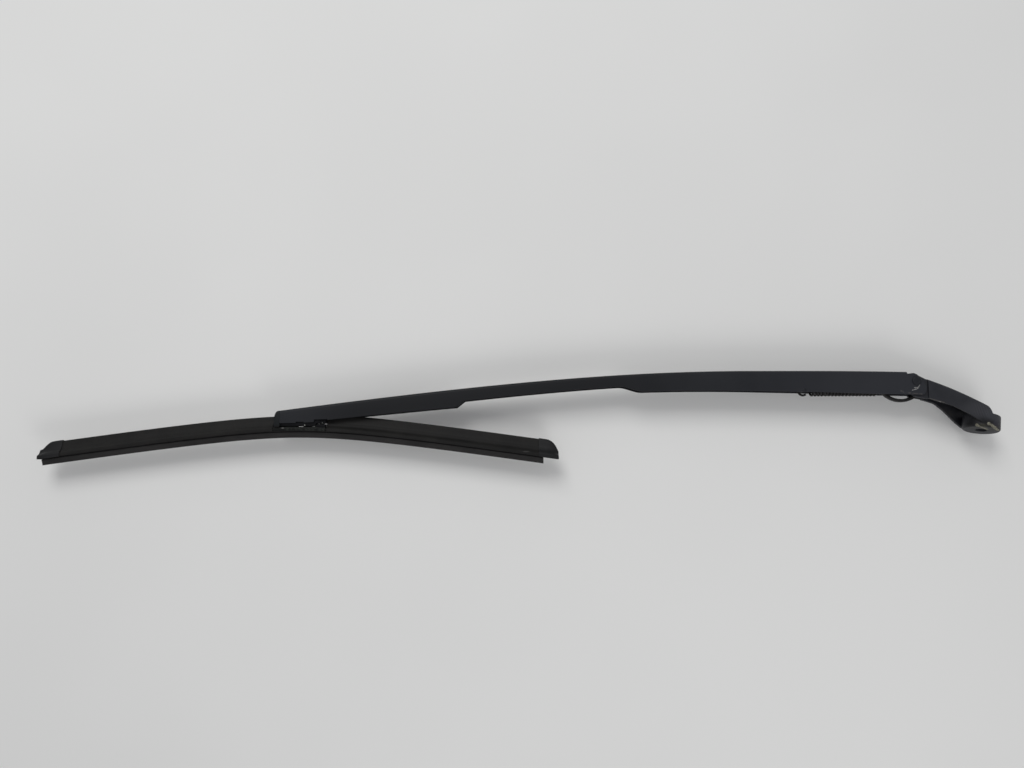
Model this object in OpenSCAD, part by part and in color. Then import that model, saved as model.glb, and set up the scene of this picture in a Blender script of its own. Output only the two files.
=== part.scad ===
// Windscreen wiper arm with its flat blade.
// Frame: +Z up, +Y along the hinge pin, arm running towards -X, origin at the
// centre of the spindle bore on the underside of the boss.

/* [Head] */
// Distance from the spindle axis to the hinge pin, along X
head_reach = 66; // [55:0.5:90]
// Height of the hinge pin above the underside of the boss
head_drop = 48.5; // [44:0.5:56]
// Lean of the spindle axis out of the arm's plane, in degrees
boss_lean = 8; // [0:0.5:10]
// Pitch of the spindle axis away from the arm, in degrees
boss_pitch = 10; // [0:0.5:12]
// Radius of the spindle boss
boss_r = 16.8; // [15:0.1:17.4]
// Height of the spindle boss
boss_h = 14.5; // [13:0.5:18]
// Radius of the spindle bore
bore_r = 5; // [4:0.1:6]
// Height of the nut's seat above the underside of the boss
nut_seat_h = 9.5; // [7:0.5:11]
// Radius of the recess round the nut
nut_recess_r = 10; // [8.5:0.1:11]
// Chamfer round the foot of the boss
boss_chamfer = 1.2; // [0.5:0.1:2]
// Width of the head where it meets the arm
head_front_w = 19.4; // [18.6:0.1:21]
// Thickness of the head's side walls
head_wall = 2.8; // [2.2:0.1:3.4]
// Thickness of the head's top skin
head_skin = 3; // [2.2:0.1:3.6]

/* [Hinge] */
// Radius of the hinge rivet's shank
rivet_r = 3; // [2.6:0.1:3.2]
// Radius of the rivet's heads
rivet_head_r = 4.7; // [4:0.1:5.2]
// Height of the rivet's heads
rivet_head_h = 1.3; // [0.8:0.1:1.8]
// Radius of the head's cheeks round the rivet
cheek_r = 6.5; // [5.8:0.1:6.8]
// Thickness of each cheek
cheek_t = 3; // [2.4:0.1:3.4]
// Thickness of the flange on each hinge bush
bush_flange_t = 0.9; // [0.6:0.1:1]
// Wall of each hinge bush
bush_wall = 1; // [0.8:0.1:1.2]
// Distance from the rear ends of the arm's walls to the shoulder of the head
shoulder_gap = 1.4; // [0.8:0.1:2]

/* [Arm] */
// Length of the pressed arm, from the hinge pin to its front end
arm_length = 626; // [600:1:660]
// Thickness of the arm's sheet
sheet = 1.6; // [1.2:0.1:1.8]
// Outer width of the arm at the hinge
arm_rear_w = 19; // [18.2:0.1:19.4]
// Outer width of the arm at its front end
arm_front_w = 13.6; // [13.2:0.1:14.6]
// Height of the arm's crest above the hinge pin
arm_crest = 10.2; // [9.6:0.1:11]
// Fall of the arm's top from its crest to the hinge
rear_fall = 1.2; // [0.6:0.1:2]
// Distance from the hinge at which the arm's top starts to fall forwards
bend_start = 163; // [150:1:190]
// Slope that the arm's top nears towards the front
arm_slope = 0.16; // [0.15:0.001:0.17]
// Softness of the arm's forward bend
arm_bend_soft = 51.3; // [45:0.1:60]
// Depth of the arm at the hinge
depth_rear = 22.6; // [22:0.1:24]
// Depth of the arm just behind its smooth step
depth_middle = 17.9; // [17:0.1:20]
// Depth of the arm's slender stretch at its rear end
depth_slender = 11.7; // [11:0.1:13]
// Depth of the arm's slender stretch at its front end
depth_slender_front = 12.6; // [12:0.1:14]
// Depth of the arm just before its short step
depth_front = 18.1; // [17:0.1:19]
// Depth of the arm between its short step and its neck
depth_shin = 16.9; // [16:0.1:18]
// Depth of the arm behind the adapter
depth_neck = 15.2; // [14.4:0.1:16]
// Depth of the arm at its waist behind the notches
depth_waist = 14; // [13.6:0.1:14.6]
// Depth of the arm over the adapter
depth_adapter = 15.7; // [15.2:0.1:16.4]
// Depth of the arm at its front end
depth_tip = 12.2; // [12:0.1:13.4]
// Radius of the arm's pressed top corners
corner_r = 2.6; // [2:0.1:3.2]

/* [Spring] */
// Distance from the hinge pin to the spring's anchor pin
anchor_reach = 111; // [105:0.5:125]
// Depth of the anchor pin below the hinge pin
anchor_drop = 9.2; // [8.4:0.1:9.6]
// Radius of the anchor pin
anchor_r = 2; // [1.6:0.1:2.4]
// Outer radius of the spring's coils
coil_r = 5.5; // [5:0.1:6]
// Radius of the spring's wire
wire_r = 1.1; // [0.9:0.05:1.2]
// Number of coils
coils = 19; // [16:1:25]
// Distance of the link's pin from the hinge pin, along X
link_pin_x = 6.3; // [5.8:0.1:7]
// Depth of the link's pin below the hinge pin
link_pin_drop = 9; // [8.4:0.1:9.6]
// Radius of the link's pin
link_pin_r = 2; // [1.8:0.1:2.2]
// Radius of the link's bow, along its middle
link_bow_r = 22.9; // [22.4:0.1:24.4]
// Distance between the link's two eyes
link_chord = 37.7; // [36:0.1:39]
// Thickness of the link's bow
link_t = 3.2; // [2.8:0.1:3.4]
// Width of the link
link_w = 5; // [4:0.1:5.6]

/* [Blade] */
// Distance from the arm's front end back to the blade's pivot
pivot_setback = 8; // [7:0.5:10]
// Depth of the blade's pivot below the arm's top
pivot_depth = 8.9; // [8.7:0.1:9.4]
// Radius of the blade's pivot pin
pivot_r = 2.2; // [1.8:0.1:2.4]
// Length of the blade in front of its crown
blade_front = 257.5; // [230:0.5:280]
// Length of the blade behind its crown
blade_rear = 256; // [230:1:280]
// Distance from the blade's pivot back to its crown
crown_back = 8; // [4:0.5:12]
// Height from the wiping edge to the pivot
pivot_lift = 19.3; // [19:0.1:19.8]
// Slope that the free blade nears at its ends
blade_slope = 0.145; // [0.11:0.001:0.15]
// Softness of the free blade's bend
blade_soft = 11.2; // [10:0.1:20]
// Height of the front spoiler's crest above the wiping edge
crest_front = 21.6; // [20:0.1:22]
// Height of the rear spoiler's crest above the wiping edge
crest_rear = 23.6; // [22:0.1:24]
// Half width of the spoilers' skirts
skirt_half = 5.9; // [5.6:0.1:6.4]
// Height from the wiping edge to the underside of the rails
rail_z = 8; // [7.8:0.1:8.2]
// Thickness of the rails
rail_t = 0.9; // [0.7:0.05:1]
// Width of each rail
rail_w = 4.1; // [3.6:0.1:4.2]
// Half width of the rubber's web between the rails
rubber_web = 1; // [0.8:0.1:1.2]
// Half width of the connector's lug
lug_half = 3; // [2.6:0.1:3.2]
// Length of each end cap
cap_length = 24; // [20:0.5:28]

/* [Clearances] */
// Radial running clearance of pins
run_gap = 0.05; // [0.02:0.01:0.08]
// Gap between moving flat faces
side_gap = 0.3; // [0.2:0.05:0.35]
// Gap between parts that are clipped together
fit_gap = 0.1; // [0.05:0.05:0.15]

/* [Hidden] */
eps = 0.01;
paint = [0.19, 0.2, 0.22];
black_plastic = [0.14, 0.14, 0.14];
black_rubber = [0.1, 0.1, 0.1];
steel = [0.5, 0.5, 0.52];

// general shapes

function flat(rows) = [for (row = rows) for (p = row) p];

function arc(cx, cy, r, from, to, steps) =
    [for (i = [0:steps]) let (a = from + (to - from) * i / steps) [cx + r * cos(a), cy + r * sin(a)]];

function smooth(t) = t <= 0 ? 0 : t >= 1 ? 1 : t * t * (3 - 2 * t);

// A bend that starts flat and nears a straight slope
function bend(x, slope, soft) = sqrt(soft * soft + slope * slope * x * x) - soft;

function turn(a, b, c) = (b[0] - a[0]) * (c[1] - a[1]) - (b[1] - a[1]) * (c[0] - a[0]);

function area2(p) = let (n = len(p))
    sum([for (i = [0:n - 1]) p[i][0] * p[(i + 1) % n][1] - p[(i + 1) % n][0] * p[i][1]]);

function sum(v, i = 0) = i >= len(v) ? 0 : v[i] + sum(v, i + 1);

function covers(p, a, b, c) = turn(a, b, p) > -eps / 10 && turn(b, c, p) > -eps / 10
    && turn(c, a, p) > -eps / 10;

function is_ear(pts, ids, k) = let (
        n = len(ids),
        a = pts[ids[(k + n - 1) % n]],
        b = pts[ids[k]],
        c = pts[ids[(k + 1) % n]])
    turn(a, b, c) > eps / 10
    && len([for (i = ids) if (pts[i] != a && pts[i] != b && pts[i] != c && covers(pts[i], a, b, c)) i]) == 0;

function find_ear(pts, ids, k = 0) =
    k >= len(ids) - 1 || is_ear(pts, ids, k) ? k : find_ear(pts, ids, k + 1);

// Cuts a flat outline, bent inwards or not, into triangles
function triangles(pts, ids) = let (n = len(ids))
    n == 3 ? [ids] : let (k = find_ear(pts, ids)) concat(
        [[ids[(k + n - 1) % n], ids[k], ids[(k + 1) % n]]],
        triangles(pts, [for (i = [0:n - 1]) if (i != k) ids[i]]));

module skin(rings, first_cap, last_cap) {
    n = len(rings[0]);
    m = len(rings);
    polyhedron(
        points = flat(rings),
        faces = concat(
            first_cap,
            [for (f = last_cap) [for (i = [len(f) - 1:-1:0]) (m - 1) * n + f[i]]],
            [for (j = [0:m - 2], i = [0:n - 1])
                [j * n + i, (j + 1) * n + i, (j + 1) * n + (i + 1) % n]],
            [for (j = [0:m - 2], i = [0:n - 1])
                [j * n + i, (j + 1) * n + (i + 1) % n, j * n + (i + 1) % n]]),
        convexity = 8);
}

// A solid through sections that each stand square to X
module loft(rings) {
    n = len(rings[0]);
    way = sign(rings[len(rings) - 1][0][0] - rings[0][0][0]);
    ordered = area2([for (p = rings[0]) [way * p[1], p[2]]]) > 0
        ? rings
        : [for (ring = rings) [for (i = [n - 1:-1:0]) ring[i]]];
    ids = [for (i = [0:n - 1]) i];
    skin(ordered,
        triangles([for (p = ordered[0]) [way * p[1], p[2]]], ids),
        triangles([for (p = ordered[len(rings) - 1]) [way * p[1], p[2]]], ids));
}

function unit(v) = v / norm(v);

function tangent(path, i) = unit(path[min(len(path) - 1, i + 1)] - path[max(0, i - 1)]);

// A round wire along a list of points
module wire(path, r, sides) {
    sides_of = [for (
        i = 0, a = unit(cross(tangent(path, 0), [0.3, 1, 0.2]));
        i < len(path);
        i = i + 1, a = i < len(path) ? unit(a - tangent(path, i) * (a * tangent(path, i))) : a) a];
    cap = [[for (k = [0:sides - 1]) k]];
    skin([for (i = [0:len(path) - 1]) let (a = sides_of[i], b = cross(tangent(path, i), a))
        [for (k = [0:sides - 1]) path[i] + r * (a * cos(360 * k / sides) + b * sin(360 * k / sides))]],
        cap, cap);
}

// Extrudes an outline given in X and Z by a thickness centred on Y
module plate(w) {
    rotate([90, 0, 0])
        translate([0, 0, -w / 2])
            linear_extrude(w)
                children();
}

module pin_y(r, w, x, z) {
    translate([x, w / 2, z])
        rotate([90, 0, 0])
            cylinder(r = r, h = w, $fn = 48);
}

module at_hinge() {
    translate([-head_reach, 0, head_drop])
        children();
}

module at_pivot() {
    translate([-head_reach - pivot_reach, 0, head_drop - pivot_drop])
        children();
}

// head

cheek_half = arm_rear_w / 2 - sheet - side_gap - bush_flange_t;
cheek_gap = 2 * (cheek_half - cheek_t);
ear_reach = 10;
shoulder_x = ear_reach + shoulder_gap;
cheek_foot = 15.4;
cheek_toe = 4.6;
cheek_sole = 2;
cheek_from = 66;
cheek_to = 205;
bulkhead_t = 2.4;
bulkhead_edge = 3.4;
head_flare = boss_r + 0.2;
head_end = head_reach + 4.5;
head_crown = 1.4;
head_drop_end = 2.6;
near_lift = 8.2;
head_top_start = 2;
head_lip_start = 17.8;
skin_rise = 6.6;
lip_dip = 4.6;
lip_foot = 7.2;
lip_slope = 0.6;
through = 60;
// The recess opens out a little, as a cast pocket does
recess_flare = through * tan(3);

// Share of the way from the shoulder to the spindle axis
function head_share(x) = (x - shoulder_x) / (head_reach - shoulder_x);

function head_half(x) = x <= head_reach
    ? head_front_w / 2 + (head_flare - head_front_w / 2) * pow(head_share(x), 1.25)
    : sqrt(head_flare * head_flare - pow(x - head_reach, 2));

function head_top(x) = let (s = head_share(x))
    head_top_start - (head_drop - boss_h - skin_rise) * (0.92 * s + 0.08 * s * s * s)
        + head_crown * sin(180 * s) - head_drop_end * pow(max(0, x - head_reach - 1.5) / 3, 2);

function head_lip(x) = let (s = head_share(x))
    -head_lip_start - lip_dip * min(s, 0.35) / 0.35
    - (head_drop - head_lip_start - lip_foot) * smooth((s - 0.22) / 0.7);

// How far the near wall's lower edge stands above the far wall's, of near_lift
function near_share(s) = smooth((s - 0.35) / 0.32) * (1 - 0.9 * smooth((s - 0.78) / 0.2));

function head_roll(x) = -boss_lean * smooth(min(1, head_share(x) * 1.05));

head_corner = 3.4;
head_inner_corner = 2;

function head_ring(x) = let (
        b = head_half(x),
        top = head_top(x),
        lip = head_lip(x),
        near = lip + near_lift * near_share(head_share(x)),
        r = head_corner,
        ri = head_inner_corner,
        bi = b - head_wall,
        ti = top - head_skin,
        mid = -head_drop,
        a = head_roll(x),
        outline = concat(
            [[-b, near]],
            [for (p = arc(-b + r, top - r, r, 180, 90, 4)) p],
            [for (p = arc(b - r, top - r, r, 90, 0, 4)) p],
            [[b, lip], [bi, lip + lip_slope]],
            [for (p = arc(bi - ri, ti - ri, ri, 0, 90, 3)) p],
            [for (p = arc(-bi + ri, ti - ri, ri, 90, 180, 3)) p],
            [[-bi, near + lip_slope]]))
    [for (p = outline)
        [x, p[0] * cos(a) - (p[1] - mid) * sin(a), mid + p[0] * sin(a) + (p[1] - mid) * cos(a)]];

// Side outline of one cheek, seen along Y
module cheek_outline() {
    polygon(concat(
        arc(0, 0, cheek_r, cheek_from, cheek_to, 16),
        [[-cheek_toe, cheek_t - cheek_foot], [-cheek_sole, -cheek_foot], [shoulder_x + 1, -head_lip_start],
            [shoulder_x + 1, head_top_start - 0.8]]));
}

module boss_axis() {
    rotate([-boss_lean, boss_pitch, 0])
        children();
}

module arm_head() {
    stations = concat(spaced(shoulder_x, head_reach + 1.5, 13), [head_reach + 3, head_end]);
    color(paint)
    difference() {
        union() {
            at_hinge()
                loft([for (x = stations) head_ring(x)]);
            // bulkhead and cheeks that carry the rivet and the link's pin
            at_hinge()
                for (side = [-1, 1])
                    translate([0, side * (cheek_gap / 2 + cheek_t / 2), 0])
                        plate(cheek_t)
                            cheek_outline();
            at_hinge()
                translate([shoulder_x, -head_front_w / 2 + 1, -head_lip_start + bulkhead_edge])
                    cube([bulkhead_t, head_front_w - 2,
                        head_lip_start + head_top_start - 1.8 * bulkhead_edge]);
            boss_axis() {
                cylinder(r1 = boss_r - boss_chamfer, r2 = boss_r, h = boss_chamfer, $fn = 72);
                translate([0, 0, boss_chamfer])
                    cylinder(r = boss_r, h = boss_h - boss_chamfer, $fn = 72);
            }
        }
        boss_axis() {
            translate([0, 0, -boss_h])
                cylinder(r = bore_r, h = through, $fn = 72);
            translate([0, 0, nut_seat_h])
                cylinder(r1 = nut_recess_r, r2 = nut_recess_r + recess_flare, h = through, $fn = 72);
        }
        at_hinge()
            pin_y(rivet_r + run_gap + bush_wall, 2 * cheek_half + 1, 0, 0);
        at_hinge()
            pin_y(link_pin_r, 2 * cheek_half + 1, link_pin_x, -link_pin_drop);
    }
}

// A flanged bush in one cheek, its flange against the arm's wall
module hinge_bush(side) {
    color(black_plastic)
    at_hinge()
        difference() {
            union() {
                translate([0, side * (cheek_gap / 2 + cheek_t / 2), 0])
                    pin_y(rivet_r + run_gap + bush_wall, cheek_t, 0, 0);
                translate([0, side * (cheek_half + bush_flange_t / 2), 0])
                    pin_y(cheek_r - 0.4, bush_flange_t, 0, 0);
            }
            pin_y(rivet_r + run_gap, 4 * cheek_half, 0, 0);
        }
}

module hinge_bush_near() {
    hinge_bush(-1);
}

module hinge_bush_far() {
    hinge_bush(1);
}

module link_pin() {
    color(steel)
    at_hinge()
        pin_y(link_pin_r, 2 * cheek_half, link_pin_x, -link_pin_drop);
}

// arm

// Height of the arm's top above the hinge pin, at a distance forward of it
function arm_top(u) = arm_crest
    - rear_fall * pow(max(0, 110 - u) / 110, 2)
    - bend(max(0, u - bend_start), arm_slope, arm_bend_soft);

depth_start = 36;
smooth_step = [269, 294];
short_step = [447, 455];
shin = arm_length - 96;
neck = arm_length - 48;
adapter_step = [arm_length - 37, arm_length - 31];
straight_rear = 60;
pivot_reach = arm_length - pivot_setback;
pivot_drop = pivot_depth - arm_top(pivot_reach);
ear_start = 6;
ear_crown = [0, 1.2, 6.6];
ear_shoulder = [4, -3.2];
ear_heel = 3;
ear_overlap = 14;
notch_from = 22;
notch_length = 9;
notch_h = 1.6;

function arm_depth(u) = u >= smooth_step[0] && u <= smooth_step[1]
    ? depth_middle + (depth_slender - depth_middle)
        * smooth((u - smooth_step[0]) / (smooth_step[1] - smooth_step[0]))
    : lookup(u, [
        [depth_start, depth_rear], [smooth_step[0], depth_middle],
        [smooth_step[1], depth_slender], [short_step[0], depth_slender_front],
        [short_step[1], depth_front], [shin, depth_shin], [neck, depth_neck],
        [adapter_step[0], depth_waist], [adapter_step[1], depth_adapter],
        [arm_length, depth_tip]]);

function arm_half(u) = (arm_rear_w + (arm_front_w - arm_rear_w)
    * max(0, u - straight_rear) / (arm_length - straight_rear)) / 2;

function arm_ring(u) = let (
        b = arm_half(u),
        top = arm_top(u),
        low = top - arm_depth(u),
        r = corner_r,
        ri = corner_r - sheet + 0.2,
        bi = b - sheet,
        ti = top - sheet,
        outline = concat(
            [[-b, low]],
            arc(-b + r, top - r, r, 180, 90, 4),
            arc(b - r, top - r, r, 90, 0, 4),
            [[b, low], [bi, low]],
            arc(bi - ri, ti - ri, ri, 0, 90, 2),
            arc(-bi + ri, ti - ri, ri, 90, 180, 2),
            [[-bi, low]]))
    [for (p = outline) [-u, p[0], p[1]]];

// Side outline of one ear at the arm's rear end
module ear_outline() {
    polygon(concat(
        [[-ear_start - 2, arm_top(ear_start) - corner_r], [-ear_start + 0.6, arm_top(ear_start) - 1]],
        arc(ear_crown[0], ear_crown[1], ear_crown[2], 100, 38, 5),
        arc(ear_reach - ear_shoulder[0], ear_shoulder[1], ear_shoulder[0], 30, 0, 3),
        arc(ear_reach - ear_heel, arm_top(0) - depth_rear + ear_heel - 0.4, ear_heel, 0, -80, 4),
        [[-ear_overlap, arm_top(ear_overlap) - depth_rear],
            [-ear_overlap, arm_top(ear_overlap) - corner_r]]));
}

module arm_channel() {
    stations = concat(
        [ear_start, 20, depth_start],
        spaced(straight_rear, bend_start, 4),
        [for (i = [1:3]) bend_start + (smooth_step[0] - bend_start) * i / 4],
        [for (i = [0:6]) smooth_step[0] + (smooth_step[1] - smooth_step[0]) * i / 6],
        [for (i = [1:4]) smooth_step[1] + (short_step[0] - smooth_step[1]) * i / 5],
        [short_step[0]],
        spaced(short_step[1], shin, 3),
        [arm_length - 72, neck],
        [adapter_step[0], adapter_step[1] - 1, adapter_step[1], arm_length - 20, arm_length]);
    color(paint)
    at_hinge()
        difference() {
            union() {
                loft([for (u = stations) arm_ring(u)]);
                for (side = [-1, 1])
                    translate([0, side * (arm_rear_w - sheet) / 2, 0])
                        plate(sheet)
                            ear_outline();
            }
            pin_y(rivet_r, arm_rear_w + 2, 0, 0);
            pin_y(anchor_r, arm_rear_w + 2, -anchor_reach, -anchor_drop);
            // notches in the lower edges beside the adapter
            translate([-arm_length + notch_from - notch_length, -arm_rear_w,
                    arm_top(arm_length - notch_from) - arm_depth(arm_length - notch_from) - 1])
                cube([notch_length, 2 * arm_rear_w, notch_h + 1]);
        }
}

module hinge_rivet() {
    color(paint)
    at_hinge() {
        pin_y(rivet_r, arm_rear_w, 0, 0);
        for (side = [-1, 1])
            translate([0, side * arm_rear_w / 2, 0])
                rotate([-90 * side, 0, 0])
                    cylinder(r1 = rivet_head_r, r2 = rivet_head_r - 1, h = rivet_head_h, $fn = 48);
    }
}

module spring_anchor_pin() {
    half = arm_half(anchor_reach);
    color(steel)
    at_hinge()
        pin_y(anchor_r, 2 * half, -anchor_reach, -anchor_drop);
}

// spring and link

bow_rise = sqrt(link_bow_r * link_bow_r - link_chord * link_chord / 4);
bow_angle = atan2(bow_rise, link_chord / 2);
bow_x = link_pin_x - link_chord / 2;
hook_x = link_pin_x - link_chord;
hook_z = -link_pin_drop;
eye_wall = 1.6;
hook_hole_r = wire_r + 0.6;

module ring_part(r, w, from, to) {
    polygon(concat(
        arc(0, 0, r + w / 2, from, to, 24),
        arc(0, 0, r - w / 2, to, from, 24)));
}

module spring_link() {
    color(steel)
    at_hinge()
        difference() {
            union() {
                translate([bow_x, 0, bow_rise - link_pin_drop])
                    plate(link_w)
                        ring_part(link_bow_r, link_t, -180 + bow_angle, -bow_angle);
                pin_y(link_pin_r + eye_wall, link_w, link_pin_x, -link_pin_drop);
                pin_y(hook_hole_r + eye_wall, link_w, hook_x, hook_z);
            }
            pin_y(link_pin_r + run_gap, link_w + 1, link_pin_x, -link_pin_drop);
            pin_y(hook_hole_r, link_w + 1, hook_x, hook_z);
        }
}

coil_mid = coil_r - wire_r;
hook_play = coil_mid - wire_r - anchor_r - side_gap / 2;
hook_lead = 2.8;

// Coils with a hook round the anchor pin in front and one through the link behind
module tension_spring() {
    steps = 10;
    front_z = -anchor_drop;
    middle = hook_play - anchor_reach;
    start = middle + coil_mid + hook_lead;
    loop_x = hook_x - coil_mid;
    coil_len = loop_x - wire_r - start;
    front = [for (a = [-50:-20:-250])
        [middle + coil_mid * cos(a), 0, front_z + coil_mid * sin(a)]];
    turns = [for (i = [0:coils * steps]) let (f = i / (coils * steps), a = 360 * i / steps)
        [start + coil_len * f, coil_mid * sin(a), front_z + (hook_z - front_z) * f + coil_mid * cos(a)]];
    rear = [for (b = [0:30:150])
        [loop_x + coil_mid * sin(b), coil_mid * cos(b), hook_z]];
    color(steel)
    at_hinge()
        wire(concat(front, turns, rear), wire_r, 6);
}

// blade adapter

adapter_half = arm_half(arm_length) - sheet - fit_gap;
adapter_rear = arm_length - 42;
adapter_low = -pivot_drop - 7.8;
adapter_rib = adapter_low + 2.6;
adapter_foot = [arm_length - 31, arm_length - 32.5, arm_length - 35];
tooth_pitch = 2.2;
tooth_low = adapter_low + 2.2;
tooth_start = arm_length - 35.1;
adapter_heel = adapter_low + 2.8;
slot_deep = 13.6;
slot_reach = [12, 20];
slot_half = lug_half + side_gap;

module blade_adapter() {
    front = arm_length - 1.2;
    color(black_plastic)
    at_hinge()
        difference() {
            plate(2 * adapter_half)
                polygon(concat(
                    [for (u = spaced(adapter_rear, front, 3))
                        [-u, arm_top(u) - sheet - fit_gap - corner_r * 0.3]],
                    [[-front, adapter_low], [-adapter_foot[0], adapter_low], [-adapter_foot[1], adapter_rib],
                        [-adapter_foot[2], adapter_rib]],
                    flat([for (i = [0:2]) let (x = -tooth_start + i * tooth_pitch)
                        [[x, tooth_low], [x + 1, tooth_low + 1], [x + 1.8, tooth_low]]]),
                    [[-adapter_rear, adapter_heel]]));
            translate([-pivot_reach - slot_reach[0], -slot_half, adapter_low - 1])
                cube([slot_reach[1], 2 * slot_half, slot_deep]);
            pin_y(pivot_r + run_gap, 3 * adapter_half, -pivot_reach, -pivot_drop);
        }
}

nose_length = 9;

module adapter_nose() {
    function nose_ring(u, top, low, half) = let (r = 2)
        [for (p = concat(
            [[-half, skirt], [-inner, skirt], [-inner, low], [inner, low], [inner, skirt], [half, skirt]],
            arc(half - r, top - r, r, 0, 90, 4),
            arc(-half + r, top - r, r, 90, 180, 4))) [-u, -p[0], p[1]]];
    top = arm_top(arm_length);
    half = arm_half(arm_length);
    base = arm_length + fit_gap;
    low = adapter_low + 0.6;
    skirt = adapter_low - 1.1;
    inner = skirt_half + fit_gap;
    color(black_plastic)
    at_hinge() {
        loft([
            nose_ring(base, top, low, half),
            nose_ring(base + nose_length * 0.36, top - 0.3, low, half),
            nose_ring(base + nose_length * 0.62, top - 1, low, half - 0.05),
            nose_ring(base + nose_length * 0.84, top - 2.8, low, half - 0.1),
            nose_ring(base + nose_length * 0.95, top - 5, low, half - 0.2),
            nose_ring(base + nose_length, top - 8.6, low, half - 0.35)]);
        translate([-base - 0.5, -adapter_half + 1, low + 3.5])
            cube([1.6, 2 * adapter_half - 2, 8]);
    }
}

// blade

crown_x = crown_back;
crown_z = -pivot_lift;

// Lengthwise curve of the free blade, in the pivot's frame
function blade_z(x) = crown_z - bend(x - crown_x, blade_slope, blade_soft);

function blade_tilt(x) = let (d = x - crown_x)
    atan(-blade_slope * blade_slope * d / sqrt(blade_soft * blade_soft + pow(blade_slope * d, 2)));

// Places section points, given across and up, at a station of the blade
function blade_ring(x, outline) = let (a = blade_tilt(x), z = blade_z(x))
    [for (p = outline) [x, p[0], z + p[1] / cos(a)]];

function spaced(from, to, steps) = [for (i = [0:steps]) from + (to - from) * i / steps];

module blade_sweep(stations, outline) {
    at_pivot()
        loft([for (x = stations) blade_ring(x, outline)]);
}

front_end = crown_x - blade_front;
rear_end = crown_x + blade_rear;

module rail(side) {
    stations = spaced(front_end + 8, rear_end - 7, 40);
    from = side > 0 ? rubber_web + fit_gap / 2 : -rubber_web - fit_gap / 2 - rail_w;
    to = from + rail_w;
    color(steel)
    blade_sweep(stations, [
        [from, rail_z], [from, rail_z + rail_t], [to, rail_z + rail_t], [to, rail_z]]);
}

module rail_near() {
    rail(-1);
}

module rail_far() {
    rail(1);
}

slot_low = rail_z - fit_gap;
slot_high = rail_z + rail_t + fit_gap;
head_half_w = 2.6;
rubber_top = slot_high + 0.6;
rubber_back = [3, 15];
room_top = rubber_top + 0.3;

// The rubber, with its lip, neck and head, slotted for the rails
module wiper_rubber() {
    half = [
        [0.35, 0], [0.4, 0.9], [2.3, 4.4], [2.4, 5.3], [0.5, 5.6], [0.5, 6.5],
        [head_half_w, 6.7], [head_half_w, slot_low], [rubber_web, slot_low], [rubber_web, slot_high],
        [head_half_w, slot_high], [head_half_w - 0.5, rubber_top]];
    outline = concat(
        [for (p = half) [-p[0], p[1]]],
        [for (i = [len(half) - 1:-1:0]) half[i]]);
    color(black_rubber)
    blade_sweep(spaced(front_end + rubber_back[0], rear_end - rubber_back[1], 40), outline);
}

rail_edge = rubber_web + fit_gap / 2 + rail_w;
skirt_low = 6.9;
skirt_high = 9.4;
crest_lean = 0.08;
cap_overlap = 8;

// One flank of a spoiler from its skirt up to its crest, grown outwards by g
function flank(crest, g) = [
    [skirt_half + g, skirt_low - g], [skirt_half + g, skirt_high], [skirt_half - 0.9 + g, 10.6 + g / 2],
    [skirt_half - 2.4 + g, 12.2 + g / 2], [2.5 + g, 14.4], [1.8 + g, 16.6],
    [1.3 + g, crest - 1.1], [0.5 + g / 2, crest + g]];

// The flank on both sides, its crest leaning back
function crested(points) = concat(
    [for (p = points) [-p[0] + crest_lean * max(0, p[1] - skirt_high), p[1]]],
    [for (i = [len(points) - 1:-1:0])
        [points[i][0] + crest_lean * max(0, points[i][1] - skirt_high), points[i][1]]]);

module spoiler(from, to, crest, steps) {
    inner = head_half_w + 0.3;
    claw = [[inner + 0.4, skirt_low], [inner + 0.4, slot_low], [rail_edge + fit_gap, slot_low],
        [rail_edge + fit_gap, slot_high], [inner, slot_high], [inner, slot_high + 1.6]];
    color(black_plastic)
    blade_sweep(spaced(from, to, steps), concat(
        crested(flank(crest, 0)),
        claw,
        [for (i = [len(claw) - 1:-1:0]) [-claw[i][0], claw[i][1]]]));
}

connector_front = -18.2;
connector_rear = 33.5;
spoiler_inner = 18.6;
connector_high = 10.6;
cover_low = connector_high + 0.5;
cover_high = connector_high + 3.2;
// The cover's foot stands just clear of the connector's top
cover_foot = connector_high + 0.05;
lug_foot = 5.5;
lug_wall = 2;
lug_open = 10;

module spoiler_front() {
    spoiler(front_end + cap_length - cap_overlap, -spoiler_inner, crest_front, 16);
}

module spoiler_rear() {
    spoiler(connector_rear + 1.2, rear_end - cap_length + cap_overlap, crest_rear, 16);
}

module connector_base() {
    low = skirt_low;
    high = connector_high;
    half = skirt_half - 0.2;
    pocket = rail_edge + fit_gap;
    outline = [
        [-half, low], [-half, high], [half, high], [half, low],
        [head_half_w + 0.7, low], [head_half_w + 0.7, slot_low], [pocket, slot_low], [pocket, slot_high],
        [head_half_w + 0.3, slot_high], [head_half_w + 0.3, high - 0.5],
        [-head_half_w - 0.3, high - 0.5], [-head_half_w - 0.3, slot_high],
        [-pocket, slot_high], [-pocket, slot_low],
        [-head_half_w - 0.7, slot_low], [-head_half_w - 0.7, low]];
    color(steel)
    difference() {
        union() {
            blade_sweep(spaced(connector_front, connector_rear, 8), outline);
            at_pivot()
                plate(2 * lug_half)
                    polygon(concat(
                        [[-lug_foot, crown_z + high - 0.3]],
                        arc(0, 0, pivot_r + lug_wall, 180 - lug_open, lug_open, 12),
                        [[lug_foot, crown_z + high - 0.3]]));
        }
        at_pivot()
            pin_y(pivot_r, 4 * lug_half, 0, 0);
    }
}

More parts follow.
